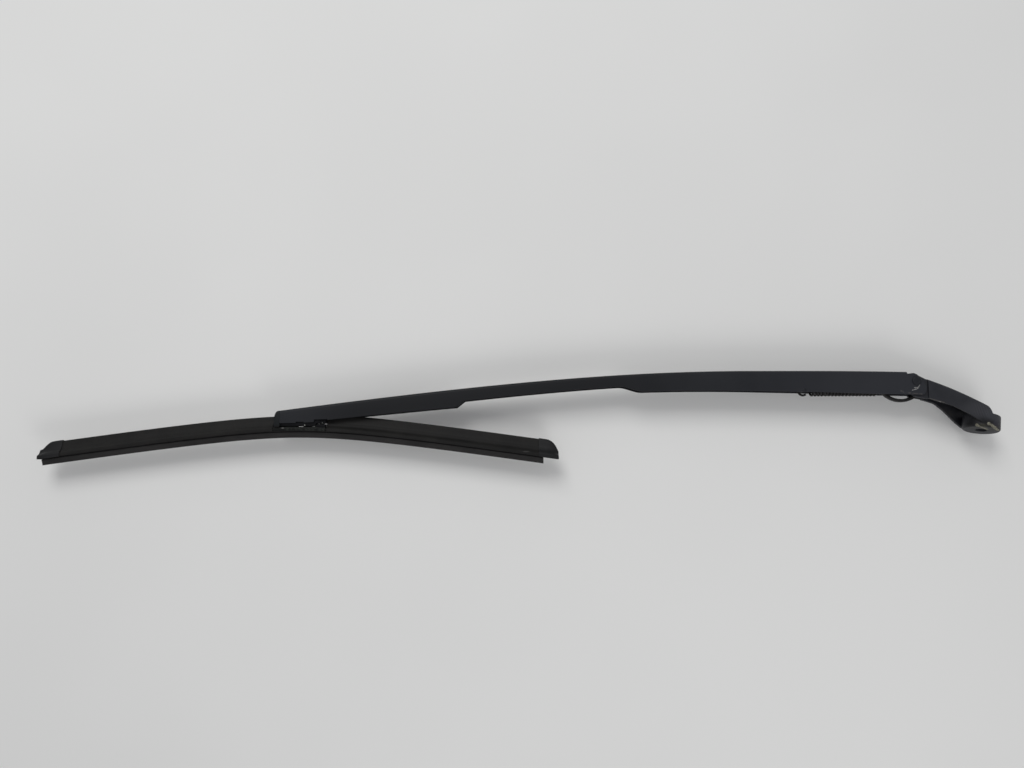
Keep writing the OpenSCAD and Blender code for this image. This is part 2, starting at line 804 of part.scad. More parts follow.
module connector_cover() {
    color(black_plastic)
    at_pivot()
        loft([for (p = [[connector_rear - 22, cover_low], [connector_rear - 10.6, cover_low],
                [connector_rear - 8.6, cover_high], [connector_rear - 0.4, cover_high]])
            blade_ring(p[0], [[-4.4, cover_foot], [-4, p[1]], [4, p[1]], [4.4, cover_foot]])]);
}

module blade_pivot() {
    color(steel)
    at_pivot()
        pin_y(pivot_r, 2 * adapter_half - 0.2, 0, 0);
}

// One end cap, a rounded shell over a spoiler's end: dir is -1 in front and 1 behind
module end_cap(dir, crest) {
    end = dir < 0 ? front_end : rear_end;
    cap_wall = 0.8;
    cap_end = 1.2;
    side = rail_edge + fit_gap;
    room = [[side, skirt_low - 2], [side, slot_high],
        [head_half_w + 0.3, slot_high + 0.1], [head_half_w, room_top]];
    shares = [0, 0.3, 0.55, 0.75, 0.9, 1];
    stations = [for (s = shares) end - dir * cap_length * (1 - s)];
    function squash(s) = sqrt(1 - 0.96 * pow(s, 3.2));
    function cap_outline(s) = [for (p = crested(flank(crest, cap_wall)))
        [p[0] * (0.7 + 0.3 * squash(s)),
            p[1] <= skirt_high ? p[1] : skirt_high + (p[1] - skirt_high) * squash(s)]];
    color(black_plastic)
    at_pivot()
        difference() {
            loft([for (i = [0:len(shares) - 1]) blade_ring(stations[i], cap_outline(shares[i]))]);
            // room for the spoiler's end
            loft([for (x = [end - dir * (cap_length + 1), end - dir * (cap_length - cap_overlap - fit_gap)])
                blade_ring(x, crested(flank(crest, fit_gap)))]);
            // room for the rails and the rubber
            loft([for (x = [end - dir * (cap_length + 1), end - dir * cap_end])
                blade_ring(x, concat([for (p = room) [-p[0], p[1]]], [for (i = [3:-1:0]) room[i]]))]);
        }
}

module end_cap_front() {
    end_cap(-1, crest_front);
}

module end_cap_rear() {
    end_cap(1, crest_rear);
}

arm_head();
hinge_bush_near();
hinge_bush_far();
link_pin();
arm_channel();
hinge_rivet();
spring_anchor_pin();
spring_link();
tension_spring();
blade_adapter();
adapter_nose();
connector_base();
connector_cover();
blade_pivot();
rail_near();
rail_far();
wiper_rubber();
spoiler_front();
spoiler_rear();
end_cap_front();
end_cap_rear();
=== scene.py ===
import math

import bmesh
import bpy
from mathutils import Matrix, Vector


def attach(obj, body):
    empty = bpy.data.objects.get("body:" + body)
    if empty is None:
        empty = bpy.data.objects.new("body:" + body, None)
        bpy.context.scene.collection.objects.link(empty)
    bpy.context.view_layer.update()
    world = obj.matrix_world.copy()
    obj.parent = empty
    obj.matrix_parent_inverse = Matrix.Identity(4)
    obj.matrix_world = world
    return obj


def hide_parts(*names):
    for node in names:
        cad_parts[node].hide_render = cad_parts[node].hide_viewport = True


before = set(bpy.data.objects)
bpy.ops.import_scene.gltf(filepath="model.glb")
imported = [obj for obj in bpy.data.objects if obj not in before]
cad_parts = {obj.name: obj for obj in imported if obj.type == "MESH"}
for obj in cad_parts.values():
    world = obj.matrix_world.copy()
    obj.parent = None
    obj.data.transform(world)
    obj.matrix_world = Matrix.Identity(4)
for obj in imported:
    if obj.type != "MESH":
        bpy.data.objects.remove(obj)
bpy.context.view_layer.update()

# Wiper arm and blade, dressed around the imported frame. Shapes are worked out in millimetres,
# hinge pin and blade pivot first, and every finished piece is scaled to metres.

mm = 0.001
weldGap = 0.001
headReach, headDrop = 66, 48.5
armLength, pivotBack, pivotHigh = 626, 8, 12.0409
hinge = Vector((-headReach, 0, headDrop))
pivot = Vector((-headReach - armLength + pivotBack, 0, pivotHigh))


# small helpers

def smooth(t):
    t = max(0.0, min(1.0, t))
    return t * t * (3 - 2 * t)


def lookup(u, table):
    if u <= table[0][0]:
        return table[0][1]
    for (a, va), (b, vb) in zip(table, table[1:]):
        if u <= b:
            return va + (vb - va) * (u - a) / (b - a)
    return table[-1][1]


def spaced(a, b, steps):
    return [a + (b - a) * i / steps for i in range(steps + 1)]


def arc(cx, cy, r, a, b, steps):
    # points on a circle from angle a to angle b, in degrees
    angles = [math.radians(t) for t in spaced(a, b, steps)]
    return [(cx + r * math.cos(t), cy + r * math.sin(t)) for t in angles]


def mirrored(points):
    # the same points on the other side, in the same order
    return [(-across, along) for across, along in points]


def bothSides(half):
    # a closed outline from its left half
    return mirrored(half) + half[::-1]


def rounded(points, cuts=3):
    # a smooth line through the points
    out = []
    last = len(points) - 1
    for i in range(last):
        corners = points[max(0, i - 1)], points[i], points[i + 1], points[min(last, i + 2)]
        for k in range(cuts):
            t = k / cuts
            out.append(tuple(0.5 * (2 * b + (c - a) * t + (2 * a - 5 * b + 4 * c - d) * t * t
                                    + (3 * b - a - 3 * c + d) * t ** 3)
                             for a, b, c, d in zip(*corners)))
    return out + [points[-1]]


def meshFrom(name, verts, faces):
    mesh = bpy.data.meshes.new(name)
    mesh.from_pydata([tuple(v) for v in verts], [], faces)
    mesh.validate()
    return mesh


def addObject(name, mesh):
    piece = bpy.data.objects.new(name, mesh)
    bpy.context.scene.collection.objects.link(piece)
    return piece


def loft(rings, capFirst=True):
    # a skin through rings with the same number of points, closed at its last one
    n = len(rings[0])
    verts = [p for ring in rings for p in ring]
    faces = [(j * n + i, j * n + (i + 1) % n, (j + 1) * n + (i + 1) % n, (j + 1) * n + i)
             for j in range(len(rings) - 1) for i in range(n)]
    if capFirst:
        faces.append(tuple(range(n))[::-1])
    faces.append(tuple((len(rings) - 1) * n + i for i in range(n)))
    return verts, faces


def tidyNormals(mesh):
    # double points become one and every face looks outwards
    work = bmesh.new()
    work.from_mesh(mesh)
    bmesh.ops.remove_doubles(work, verts=work.verts, dist=weldGap)
    bmesh.ops.recalc_face_normals(work, faces=work.faces)
    work.to_mesh(mesh)
    work.free()
    return mesh


def bake(piece):
    # turns the modifiers' result into a plain mesh
    graph = bpy.context.evaluated_depsgraph_get()
    mesh = bpy.data.meshes.new_from_object(piece.evaluated_get(graph))
    piece.modifiers.clear()
    old = piece.data
    piece.data = mesh
    bpy.data.meshes.remove(old)
    return piece


def solidPiece(name, *parts):
    # one object of several closed parts
    return addObject(name, tidyNormals(joinMeshes(name, parts)))


def finishPiece(piece, material, body, stands, sharp):
    # from millimetres to metres, shaded, painted and carried by its body
    piece.data.transform(Matrix.Scale(mm, 4))
    piece.data.shade_smooth()
    piece.data.set_sharp_from_angle(angle=math.radians(sharp))
    piece.data.materials.clear()
    piece.data.materials.append(material)
    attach(piece, body)
    if stands:
        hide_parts(*stands)
    return piece


def bevelled(piece, width, segments, angle):
    edge = piece.modifiers.new("edge", "BEVEL")
    edge.width = width
    edge.segments = segments
    edge.limit_method = "ANGLE"
    edge.angle_limit = math.radians(angle)
    edge.use_clamp_overlap = True
    return bake(piece)


def joinMeshes(name, parts):
    verts, faces = [], []
    for partVerts, partFaces in parts:
        start = len(verts)
        verts += [tuple(v) for v in partVerts]
        faces += [tuple(start + i for i in f) for f in partFaces]
    return meshFrom(name, verts, faces)


def cutWith(piece, cutter, operation="DIFFERENCE"):
    knife = piece.modifiers.new("cut", "BOOLEAN")
    knife.operation = operation
    knife.solver = "EXACT"
    knife.use_self = True
    knife.object = cutter
    bake(piece)
    bpy.data.objects.remove(cutter)
    return piece


def cast(piece, voxel, rounds, factor):
    # one closed skin with softened edges, as a casting or a moulding has
    skin = piece.modifiers.new("skin", "REMESH")
    skin.mode = "VOXEL"
    skin.voxel_size = voxel
    ease = piece.modifiers.new("ease", "SMOOTH")
    ease.factor = factor
    ease.iterations = rounds
    return bake(piece)


def turned(profile, sides):
    # a lathed form about Z through (radius, height) points, closed at both ends
    turns = [2 * math.pi * k / sides for k in range(sides)]
    return loft([[(r * math.cos(t), r * math.sin(t), h) for t in turns] for r, h in profile])


def placed(part, matrix):
    verts, faces = part
    return [matrix @ Vector(v) for v in verts], faces


def plate(outline, width, middle=0.0):
    # an outline given in X and Z, extruded across Y
    return loft([[(x, middle + side * width / 2, z) for x, z in outline] for side in (-1, 1)])


def acrossY(profile, x, z, sides=40):
    # a turned form laid along Y
    laid = Matrix.Translation((x, 0, z)) @ Matrix.Rotation(math.pi / 2, 4, "X")
    return placed(turned(profile, sides), laid)


def bored(radius, reach, x, z):
    # the round bar that a cross hole is cut with
    return acrossY([(radius, -reach), (radius, reach)], x, z)


def aboutHinge(piece):
    piece.data.transform(Matrix.Translation(hinge))
    return piece


def block(low, high):
    (x0, y0, z0), (x1, y1, z1) = low, high
    return loft([[(x, y0, z0), (x, y1, z0), (x, y1, z1), (x, y0, z1)] for x in (x0, x1)])


# shader maths

class Value:
    # one socket of a node tree that can be used in sums
    def __init__(self, tree, socket):
        self.tree = tree
        self.socket = socket

    def maths(self, operation, *terms):
        return addNode(self.tree, "ShaderNodeMath", {"operation": operation}, dict(enumerate(terms)))

    def __add__(self, other):
        return self.maths("ADD", self, other)

    def __radd__(self, other):
        return self.maths("ADD", other, self)

    def __sub__(self, other):
        return self.maths("SUBTRACT", self, other)

    def __rsub__(self, other):
        return self.maths("SUBTRACT", other, self)

    def __mul__(self, other):
        return self.maths("MULTIPLY", self, other)

    def __rmul__(self, other):
        return self.maths("MULTIPLY", other, self)

    def __truediv__(self, other):
        return self.maths("DIVIDE", self, other)

    def __lt__(self, other):
        return self.maths("LESS_THAN", self, other)

    def __gt__(self, other):
        return self.maths("GREATER_THAN", self, other)


def addNode(tree, kind, settings=None, values=None, out=0):
    node = tree.nodes.new(kind)
    for name, value in (settings or {}).items():
        setattr(node, name, value)
    for name, value in (values or {}).items():
        feed(tree, node.inputs[name], value)
    return Value(tree, node.outputs[out])


def feed(tree, socket, value):
    # a link from another node, or one value for the whole socket
    if isinstance(value, Value):
        tree.links.new(value.socket, socket)
    else:
        socket.default_value = value


def root(value):
    return value.maths("SQRT", value)


def wave(value, operation="SINE"):
    return value.maths(operation, value)


def larger(a, b):
    return a.maths("MAXIMUM", a, b)


def smaller(a, b):
    return a.maths("MINIMUM", a, b)


def dot(a, b):
    return a[0] * b[0] + a[1] * b[1] + a[2] * b[2]


principled = {"colour": "Base Color", "roughness": "Roughness", "metallic": "Metallic", "normal": "Normal",
              "specular": "Specular IOR Level"}


class Finish:
    # a material that is built up from object coordinates, in millimetres
    def __init__(self, name):
        self.material = bpy.data.materials.new(name)
        self.material.use_nodes = True
        self.tree = self.material.node_tree
        self.tree.nodes.clear()
        place = addNode(self.tree, "ShaderNodeTexCoord", out=3)
        self.place = self.node("ShaderNodeVectorMath", {"operation": "SCALE"}, {0: place, "Scale": 1000})
        parts = self.tree.nodes.new("ShaderNodeSeparateXYZ")
        self.tree.links.new(self.place.socket, parts.inputs[0])
        self.x, self.y, self.z = (Value(self.tree, parts.outputs[i]) for i in range(3))

    def node(self, kind, settings=None, values=None, out=0):
        return addNode(self.tree, kind, settings, values, out)

    def stretched(self, x, y, z):
        return self.node("ShaderNodeVectorMath", {"operation": "MULTIPLY"}, {0: self.place, 1: (x, y, z)})

    def noise(self, scale, detail=3, rough=0.55, place=None):
        return self.node("ShaderNodeTexNoise", {}, {
            "Vector": place or self.place, "Scale": scale, "Detail": detail, "Roughness": rough})

    def ramp(self, value, low, high, a=0.0, b=1.0):
        return self.node("ShaderNodeMapRange", {"interpolation_type": "SMOOTHSTEP"}, {
            "Value": value, "From Min": low, "From Max": high, "To Min": a, "To Max": b})

    def mixed(self, share, a, b):
        return self.node("ShaderNodeMix", {"data_type": "RGBA"}, {0: share, 6: a, 7: b}, 2)

    def ragged(self, far, edge, grain, scale=0.7):
        # full where far is small, gone at 1, with an uneven border
        return self.ramp(far + (self.noise(scale, 4) - 0.5) * grain, 1 - edge, 1, 1, 0)

    def spot(self, centre, size, edge, grain):
        # a ragged patch around a point, sizes in millimetres
        away = [(v - c) / s for v, c, s in zip((self.x, self.y, self.z), centre, size)]
        return self.ragged(root(dot(away, away)), edge, grain)

    def scar(self, a, b, width, **look):
        # a worn line between two points on a surface
        span = [q - p for p, q in zip(a, b)]
        off = [v - p for v, p in zip((self.x, self.y, self.z), a)]
        along = larger(smaller(dot(off, span) / dot(span, span), 1), 0)
        near = [o - along * d for o, d in zip(off, span)]
        return self.ragged(root(dot(near, near)) / width, **look)

    def scars(self, lines, **look):
        worn = self.scar(*lines[0], **look)
        for line in lines[1:]:
            worn = larger(worn, self.scar(*line, **look))
        return worn

    def bump(self, height, distance, strength):
        values = {"Height": height, "Distance": distance * mm, "Strength": strength}
        return self.node("ShaderNodeBump", {}, values)

    def close(self, **sockets):
        shader = self.tree.nodes.new("ShaderNodeBsdfPrincipled")
        for name, value in sockets.items():
            feed(self.tree, shader.inputs[principled[name]], value)
        out = self.tree.nodes.new("ShaderNodeOutputMaterial")
        self.tree.links.new(shader.outputs[0], out.inputs[0])
        return self.material


# finishes

paintLook = {"dark": (0.0105, 0.0117, 0.0148, 1), "pale": (0.0168, 0.0182, 0.0218, 1), "roughness": 0.5,
             "gloss": 0.26}
dustyGrey, scuffGrey, bareMetal = (0.1, 0.095, 0.09, 1), (0.1, 0.092, 0.085, 1), (0.4, 0.39, 0.37, 1)
wearAndPaintedGlintPlaces = {
    "earBright": (((-70.8, -9.5, 39.2), (-65.6, -9.5, 40.8), 0.55),
                  ((-65.6, -9.5, 40.8), (-63.2, -9.5, 44.6), 0.5),
                  ((-68.6, -9.5, 41.7), (-65.4, -9.5, 41.8), 0.6)),
    "earDull": (((-81.8, -9.5, 38.4), (-79.4, -9.5, 37.2), 1.3),
                ((-78.5, -9.5, 36.8), (-71.4, -9.5, 36.3), 1.1),
                ((-71.0, -9.5, 36.2), (-61.5, -9.5, 35.4), 0.8)),
    "headBright": (((-45.5, -10.2, 28.1), (-44.0, -10.2, 27.6), 0.5),
                   ((-50.0, -10.0, 29.2), (-49.0, -10, 28.9), 0.3)),
    "headDull": (((-54.5, -9.7, 31.0), (-40.5, -10.4, 26.9), 0.8),),
    "bossWorn": (((-10.6, -11.7, 4.8), (-6.4, -11.4, 2.6), 1.9), ((-6.4, -11.4, 2.6), (1.6, -7.6, 0.8), 2.0),
                 ((-1, -15.8, 5.9), (4, -15.8, 2.4), 2.1), ((4, -15.8, 2.4), (11.4, -9.6, -1.4), 2.1)),
    # painted glints along the clamp's upper edge
    "clampPaintedGlints": (((-686.8, -5.7, 3.2), (-681, -5.7, 3.3), 0.35),
                    ((-677.5, -5.7, 3.3), (-675, -5.7, 3.3), 0.3)),
}


def blackPaint(name, wearAndPaintedLight):
    # satin black lacquer over metal, a little dusty. The function given for wear and painted light returns
    # how bare and how dull the paint is, any relief, and the colour with its marks and its painted shade and
    # highlights
    f = Finish(name)
    cloud = f.noise(0.02, 5, 0.6)
    fine = f.noise(1.4, 3)
    colour = f.mixed(f.ramp(cloud * 0.7 + fine * 0.3, 0.3, 0.72), paintLook["dark"], paintLook["pale"])
    dust = f.ramp(f.noise(0.35, 6, 0.7), 0.56, 0.8) * f.ramp(f.noise(3.5, 2), 0.4, 0.7)
    colour = f.mixed(dust * 0.2, colour, dustyGrey)
    peel = f.noise(0.9, 2, 0.5)
    grit = f.noise(4.5, 2, 0.6)
    bare, dull, relief, colour = wearAndPaintedLight(f, colour)
    rough = paintLook["roughness"] + (cloud - 0.5) * 0.16 + dust * 0.25 + dull * 0.12 - bare * 0.1
    height = peel * 0.25 + grit * 0.06 - bare * 0.5 - dull * 0.08 + relief
    return f.close(colour=colour, roughness=rough, metallic=bare * 0.6, specular=paintLook["gloss"],
                   normal=f.bump(height, 0.05, 0.6))


def armWearAndSheen(f, colour):
    bare = f.scars(wearAndPaintedGlintPlaces["earBright"], edge=0.5, grain=0.6)
    # painted reflection: darker along the middle of the arm and paler towards the hinge
    paintedDimMiddle = f.ramp(f.x, -690, -610) * f.ramp(f.x, -400, -260, 0.85, 0)
    colour = f.mixed(paintedDimMiddle, colour, (0.0042, 0.0047, 0.0062, 1))
    colour = f.mixed(f.ramp(f.x, -290, -90) * 0.46, colour, (0.037, 0.039, 0.047, 1))
    rubs = f.scars(wearAndPaintedGlintPlaces["earDull"], edge=0.9, grain=1.6, scale=0.4)
    dull = rubs * f.ramp(f.noise(0.45, 3), 0.4, 0.56)
    colour = f.mixed(dull * 0.6, colour, scuffGrey)
    steel = f.mixed(f.ramp(f.noise(1.2, 4), 0.3, 0.7), (0.16, 0.155, 0.145, 1), (0.42, 0.42, 0.41, 1))
    return bare, dull, 0, f.mixed(bare, colour, steel)


def headWearShadeAndSheen(f, colour):
    colour = f.mixed(f.ramp(f.noise(0.06, 4), 0.3, 0.7, 0.15, 0.45), colour, (0.042, 0.043, 0.05, 1))
    bare = f.scars(wearAndPaintedGlintPlaces["headBright"], edge=0.5, grain=0.7)
    dull = f.scars(wearAndPaintedGlintPlaces["headDull"], edge=0.7, grain=1.2)
    colour = f.mixed(dull * 0.6, colour, scuffGrey)
    colour = f.mixed(bare * 0.35, colour, bareMetal)
    # the boss's foot is painted dark, as painted shade on its lower side, the wall above it chalky
    foot = f.spot((-4, -8, 3), (20, 13, 12), 0.35, 0.5)
    colour = f.mixed(foot * 0.92, colour, (0.0055, 0.0053, 0.0062, 1))
    colour = f.mixed(f.spot((-9, -14, 21), (25, 10, 12), 0.7, 0.3) * 0.75, colour, (0.04, 0.041, 0.047, 1))
    # dust has settled in the hollow next to the boss
    inside = f.spot((-26, 3, 15), (20, 13, 14), 0.4, 0.6) * f.ramp(f.y, -11.5, -9.5) * f.ramp(f.x, -14, -18)
    colour = f.mixed(inside * f.ramp(f.noise(0.3, 4), 0.35, 0.6) * 0.7, colour, (0.05, 0.046, 0.042, 1))
    # strips along the foot are down to the pale alloy, with stains round them
    strip = f.scars(wearAndPaintedGlintPlaces["bossWorn"], edge=0.6, grain=1.3, scale=0.6)
    bright = f.ramp(f.noise(0.9, 5, 0.7), 0.34, 0.68)
    alloy = f.mixed(bright, (0.06, 0.054, 0.032, 1), (0.31, 0.295, 0.235, 1))
    colour = f.mixed(f.spot((-5, -13, 4), (6, 4, 3.5), 0.6, 0.8) * 0.5, colour, (0.06, 0.056, 0.036, 1))
    colour = f.mixed(f.spot((7, -15, 6), (6, 4, 5), 0.6, 0.6) * 0.4, colour, (0.045, 0.04, 0.056, 1))
    colour = f.mixed(f.spot((6, -12, 15), (13, 9, 9), 0.5, 0.3) * 0.6, colour, (0.05, 0.052, 0.06, 1))
    colour = f.mixed(strip, colour, alloy)
    # fine casting ripples on the near wall above the boss, in relief, with painted highlights as paler
    # stripes on their crests
    rippleAndSheen = wave((f.x + f.z * 0.2) * 2.7) * f.spot((-4, -14, 20), (13, 8, 10), 0.6, 0.2)
    colour = f.mixed(larger(rippleAndSheen, 0) * 0.35, colour, (0.06, 0.062, 0.07, 1))
    return 0, larger(dull, strip), rippleAndSheen * 1.2, colour


def plainWear(f, colour):
    bare = f.ramp(f.noise(0.8, 5), 0.78, 0.84)
    dull = f.ramp(f.noise(0.3, 5), 0.6, 0.8) * 0.4
    return bare, dull, 0, f.mixed(bare, colour, bareMetal)


def mouldedPlastic(name, dark, pale, roughness, gloss=0.3, marksAndPaintedLight=()):
    # black moulded plastic with a fine spark-eroded grain, greyed by weather
    f = Finish(name)
    cloud = f.noise(0.03, 5, 0.6)
    fade = f.ramp(cloud * 0.75 + f.noise(0.5, 4) * 0.25, 0.34, 0.68)
    colour = f.mixed(fade, (*dark, 1), (*pale, 1))
    specks = f.ramp(f.noise(1.1, 5, 0.7), 0.66, 0.8)
    colour = f.mixed(specks * 0.16, colour, (0.1, 0.096, 0.088, 1))
    # spots laid into the colour where they are given: marks, painted glints, a painted highlight and painted
    # shade
    for place, size, mark in marksAndPaintedLight:
        colour = f.mixed(f.spot(place, size, 0.5, 0.5), colour, (*mark, 1))
    rough = roughness + (cloud - 0.5) * 0.2 + specks * 0.15
    height = f.noise(5.5, 2, 0.6) * 0.35 + f.noise(0.8, 3) * 0.2
    return f.close(colour=colour, roughness=rough, specular=gloss, normal=f.bump(height, 0.05, 0.7))


rubberLook = {"dark": (0.0165, 0.0156, 0.0154, 1), "pale": (0.03, 0.0284, 0.0276, 1)}


def dullRubber(name):
    # graphite-coated rubber with faint streaks along it
    f = Finish(name)
    cloud = f.noise(0.025, 5, 0.6)
    along = f.noise(0.6, 4, place=f.stretched(0.08, 1, 1))
    colour = f.mixed(f.ramp(cloud * 0.6 + along * 0.4, 0.35, 0.66), rubberLook["dark"], rubberLook["pale"])
    rough = 0.66 + (along - 0.5) * 0.3
    relief = f.bump(along * 0.6 + f.noise(3, 3) * 0.2, 0.06, 0.6)
    return f.close(colour=colour, roughness=rough, specular=0.25, normal=relief)


def springSteel(name, bright):
    # dark phosphated steel with paler spots and a trace of rust
    f = Finish(name)
    spots = f.ramp(f.noise(0.9, 5, 0.65), 0.42, 0.7)
    dark = (bright * 0.5, bright * 0.48, bright * 0.46, 1)
    pale = (bright * 1.8, bright * 1.7, bright * 1.6, 1)
    rust = f.ramp(f.noise(0.25, 5), 0.62, 0.75) * 0.35
    colour = f.mixed(rust, f.mixed(spots, dark, pale), (0.06, 0.032, 0.018, 1))
    relief = f.bump(f.noise(2.5, 4), 0.05, 0.6)
    return f.close(colour=colour, roughness=0.42 + spots * 0.25, metallic=0.3, specular=0.4, normal=relief)


def turnedSteel(name):
    # plain pins with fine turning marks
    f = Finish(name)
    rings = f.noise(3, 3, place=f.stretched(1, 6, 1))
    colour = f.mixed(f.ramp(rings, 0.3, 0.7), (0.22, 0.22, 0.22, 1), (0.42, 0.42, 0.41, 1))
    relief = f.bump(rings, 0.02, 0.5)
    return f.close(colour=colour, roughness=0.3 + rings * 0.25, metallic=0.95, normal=relief)


def wornClampWithGlints(name):
    # grey-green coated sheet, mottled and rubbed here and there, with painted glints along its upper edge and
    # at its front end
    f = Finish(name)
    patches = f.ramp(f.noise(0.42, 5, 0.65), 0.45, 0.6) * f.ramp(f.x, -692, -687)
    colour = f.mixed(patches, (0.0032, 0.0037, 0.0034, 1), (0.022, 0.0245, 0.0212, 1))
    rubbed = f.ramp(f.noise(0.6, 5, 0.7), 0.68, 0.76) * 0.3
    # painted glints: bright strokes along the upper edge and a soft spot at the front end
    bare = larger(rubbed, f.scars(wearAndPaintedGlintPlaces["clampPaintedGlints"], edge=0.6, grain=0.7))
    bare = larger(bare, f.spot((-692.4, -5.7, 2), (2, 1.5, 0.8), 0.6, 0.4) * 0.3)
    colour = f.mixed(bare, colour, (0.34, 0.34, 0.32, 1))
    return f.close(colour=colour, roughness=0.55 + patches * 0.15, metallic=bare * 0.5, specular=0.18,
                   normal=f.bump(f.noise(2, 4), 0.05, 0.6))


armPaintAndSheen = blackPaint("armPaintAndSheen", armWearAndSheen)
headPaintShadeAndSheen = blackPaint("headPaintShadeAndSheen", headWearShadeAndSheen)
pinPaint = blackPaint("rivetPaint", plainWear)
plasticMarksAndPaintedLight = {
    "spoiler": (((-847.7, -3.0, -19.0), (1.6, 2.5, 0.9), (0.5, 0.5, 0.49)),
                # painted highlight on the rear spoiler's skirt, next to the groove above the rubber
                ((-452.3, -5.9, -21.1), (4, 2, 0.8), (0.045, 0.044, 0.042))),
    # painted glints on the adapter's lower side and on one of its teeth
    "adapter": (((-671, -5.1, 4.6), (0.8, 1, 1.4), (0.22, 0.225, 0.21)),
                ((-653.2, -5.1, 7), (0.9, 1, 1.1), (0.26, 0.265, 0.25))),
    # painted shade along the foot of the nose's skirt
    "nose": (((-697, -6.8, 3.3), (7, 1, 1.4), (0.003, 0.003, 0.003)),),
}
spoilerPlasticAndHighlight = mouldedPlastic("spoilerPlasticAndHighlight", (0.0074, 0.0071, 0.0067), (0.0152, 0.0145, 0.0134),
                                0.58, 0.2, plasticMarksAndPaintedLight["spoiler"])
capPlastic = mouldedPlastic("capPlastic", (0.0072, 0.0074, 0.008), (0.0138, 0.0138, 0.0146), 0.5, 0.25)
# black plastic for the adapter and the clamp's cover, made darker than the other plastics as painted shade
# under the arm's end
adapterPlasticShadeAndGlints = mouldedPlastic("adapterPlasticShadeAndGlints", (0.0024, 0.0026, 0.0036), (0.005, 0.0053, 0.0068),
                                0.6, 0.16, plasticMarksAndPaintedLight["adapter"])
nosePlasticAndShade = mouldedPlastic("nosePlasticAndShade", (0.0075, 0.0092, 0.0104), (0.0125, 0.0146, 0.016),
                             0.5, 0.24, plasticMarksAndPaintedLight["nose"])
bushPlastic = mouldedPlastic("bushPlastic", (0.011, 0.011, 0.011), (0.018, 0.018, 0.018), 0.4)
bladeRubber = dullRubber("bladeRubber")
springFinish = springSteel("springFinish", 0.014)
railFinish = springSteel("railFinish", 0.03)
pinSteel = turnedSteel("pinSteel")
clampFinishWithGlints = wornClampWithGlints("clampFinishWithGlints")
print("finishes ready")

# camera at the photograph's place: level 6 degrees below the arm

cameraPlace = {"at": (-466.1, -799.6, -37.7), "tilt": 6.0, "lens": 28.27, "sensor": 36, "clip": (0.05, 50)}
lens = bpy.data.cameras.new("camera")
lens.sensor_width = cameraPlace["sensor"]
lens.lens = cameraPlace["lens"]
lens.clip_start, lens.clip_end = cameraPlace["clip"]
camera = bpy.data.objects.new("camera", lens)
bpy.context.scene.collection.objects.link(camera)
camera.location = Vector(cameraPlace["at"]) * mm
camera.rotation_euler = (math.radians(90 + cameraPlace["tilt"]), 0, 0)
bpy.context.scene.camera = camera

# the pale sheet that the arm lies on, and the light

sheetLook = {"behind": 25, "middle": -400, "reach": 3000, "colour": (0.87, 0.87, 0.85, 1), "cloud": 1.04}


def paleSheet():
    # seen from the front only, so that it never hides the part from behind
    f = Finish("paleSheet")
    cloud = f.ramp(f.noise(0.0018, 3), 0.3, 0.7)
    bright = tuple(c * sheetLook["cloud"] for c in sheetLook["colour"][:3])
    colour = f.mixed(cloud, sheetLook["colour"], (*bright, 1))
    shader = f.node("ShaderNodeBsdfDiffuse", {}, {"Color": colour})
    clear = f.node("ShaderNodeBsdfTransparent")
    back = f.node("ShaderNodeNewGeometry", out=6)
    out = f.tree.nodes.new("ShaderNodeOutputMaterial")
    mix = f.node("ShaderNodeMixShader", {}, {0: back, 1: shader, 2: clear})
    f.tree.links.new(mix.socket, out.inputs[0])
    return f.material


middle, reach, behind = sheetLook["middle"], sheetLook["reach"], sheetLook["behind"]
backdrop = addObject("paleSheet", meshFrom("paleSheet", [
    (middle + right * reach, behind, up * reach) for right, up in ((-1, -1), (1, -1), (1, 1), (-1, 1))],
    [(0, 1, 2, 3)]))
backdrop.data.transform(Matrix.Scale(mm, 4))
backdrop.data.materials.append(paleSheet())
backdrop.visible_shadow = False

lampTarget = Vector((-0.4, 0, 0.02))
lamps = {
    "above": {"at": (-0.9, -1.7, 1.3), "size": 1.0, "power": 16},
    "below": {"at": (0.2, -1.2, -1.4), "size": 0.8, "power": 6},
    "behind": {"at": (-0.4, 1.6, 1.2), "size": 1.4, "power": 20},
}
for name, lamp in lamps.items():
    light = bpy.data.lights.new(name, "AREA")
    light.size = lamp["size"]
    light.energy = lamp["power"]
    holder = bpy.data.objects.new(name, light)
    bpy.context.scene.collection.objects.link(holder)
    holder.location = lamp["at"]
    holder.rotation_euler = (lampTarget - holder.location).to_track_quat("-Z", "Y").to_euler()

# a dim room lights the part, and the camera sees a pale one behind it
rooms = {"dim": {"Color": (0.96, 0.965, 1, 1), "Strength": 0.4},
         "pale": {"Color": (0.68, 0.675, 0.68, 1), "Strength": 1.0}}
world = bpy.data.worlds.new("world")
bpy.context.scene.world = world
world.use_nodes = True
worldTree = world.node_tree
worldTree.nodes.clear()
ray = addNode(worldTree, "ShaderNodeLightPath")
dim, pale = (addNode(worldTree, "ShaderNodeBackground", {}, room) for room in rooms.values())
seen = addNode(worldTree, "ShaderNodeMixShader", {}, {0: ray, 1: dim, 2: pale})
worldOut = worldTree.nodes.new("ShaderNodeOutputWorld")
worldTree.links.new(seen.socket, worldOut.inputs[0])
bpy.context.scene.view_settings.view_transform = "Standard"
print("camera, sheet and lamps ready")

# geometry trees


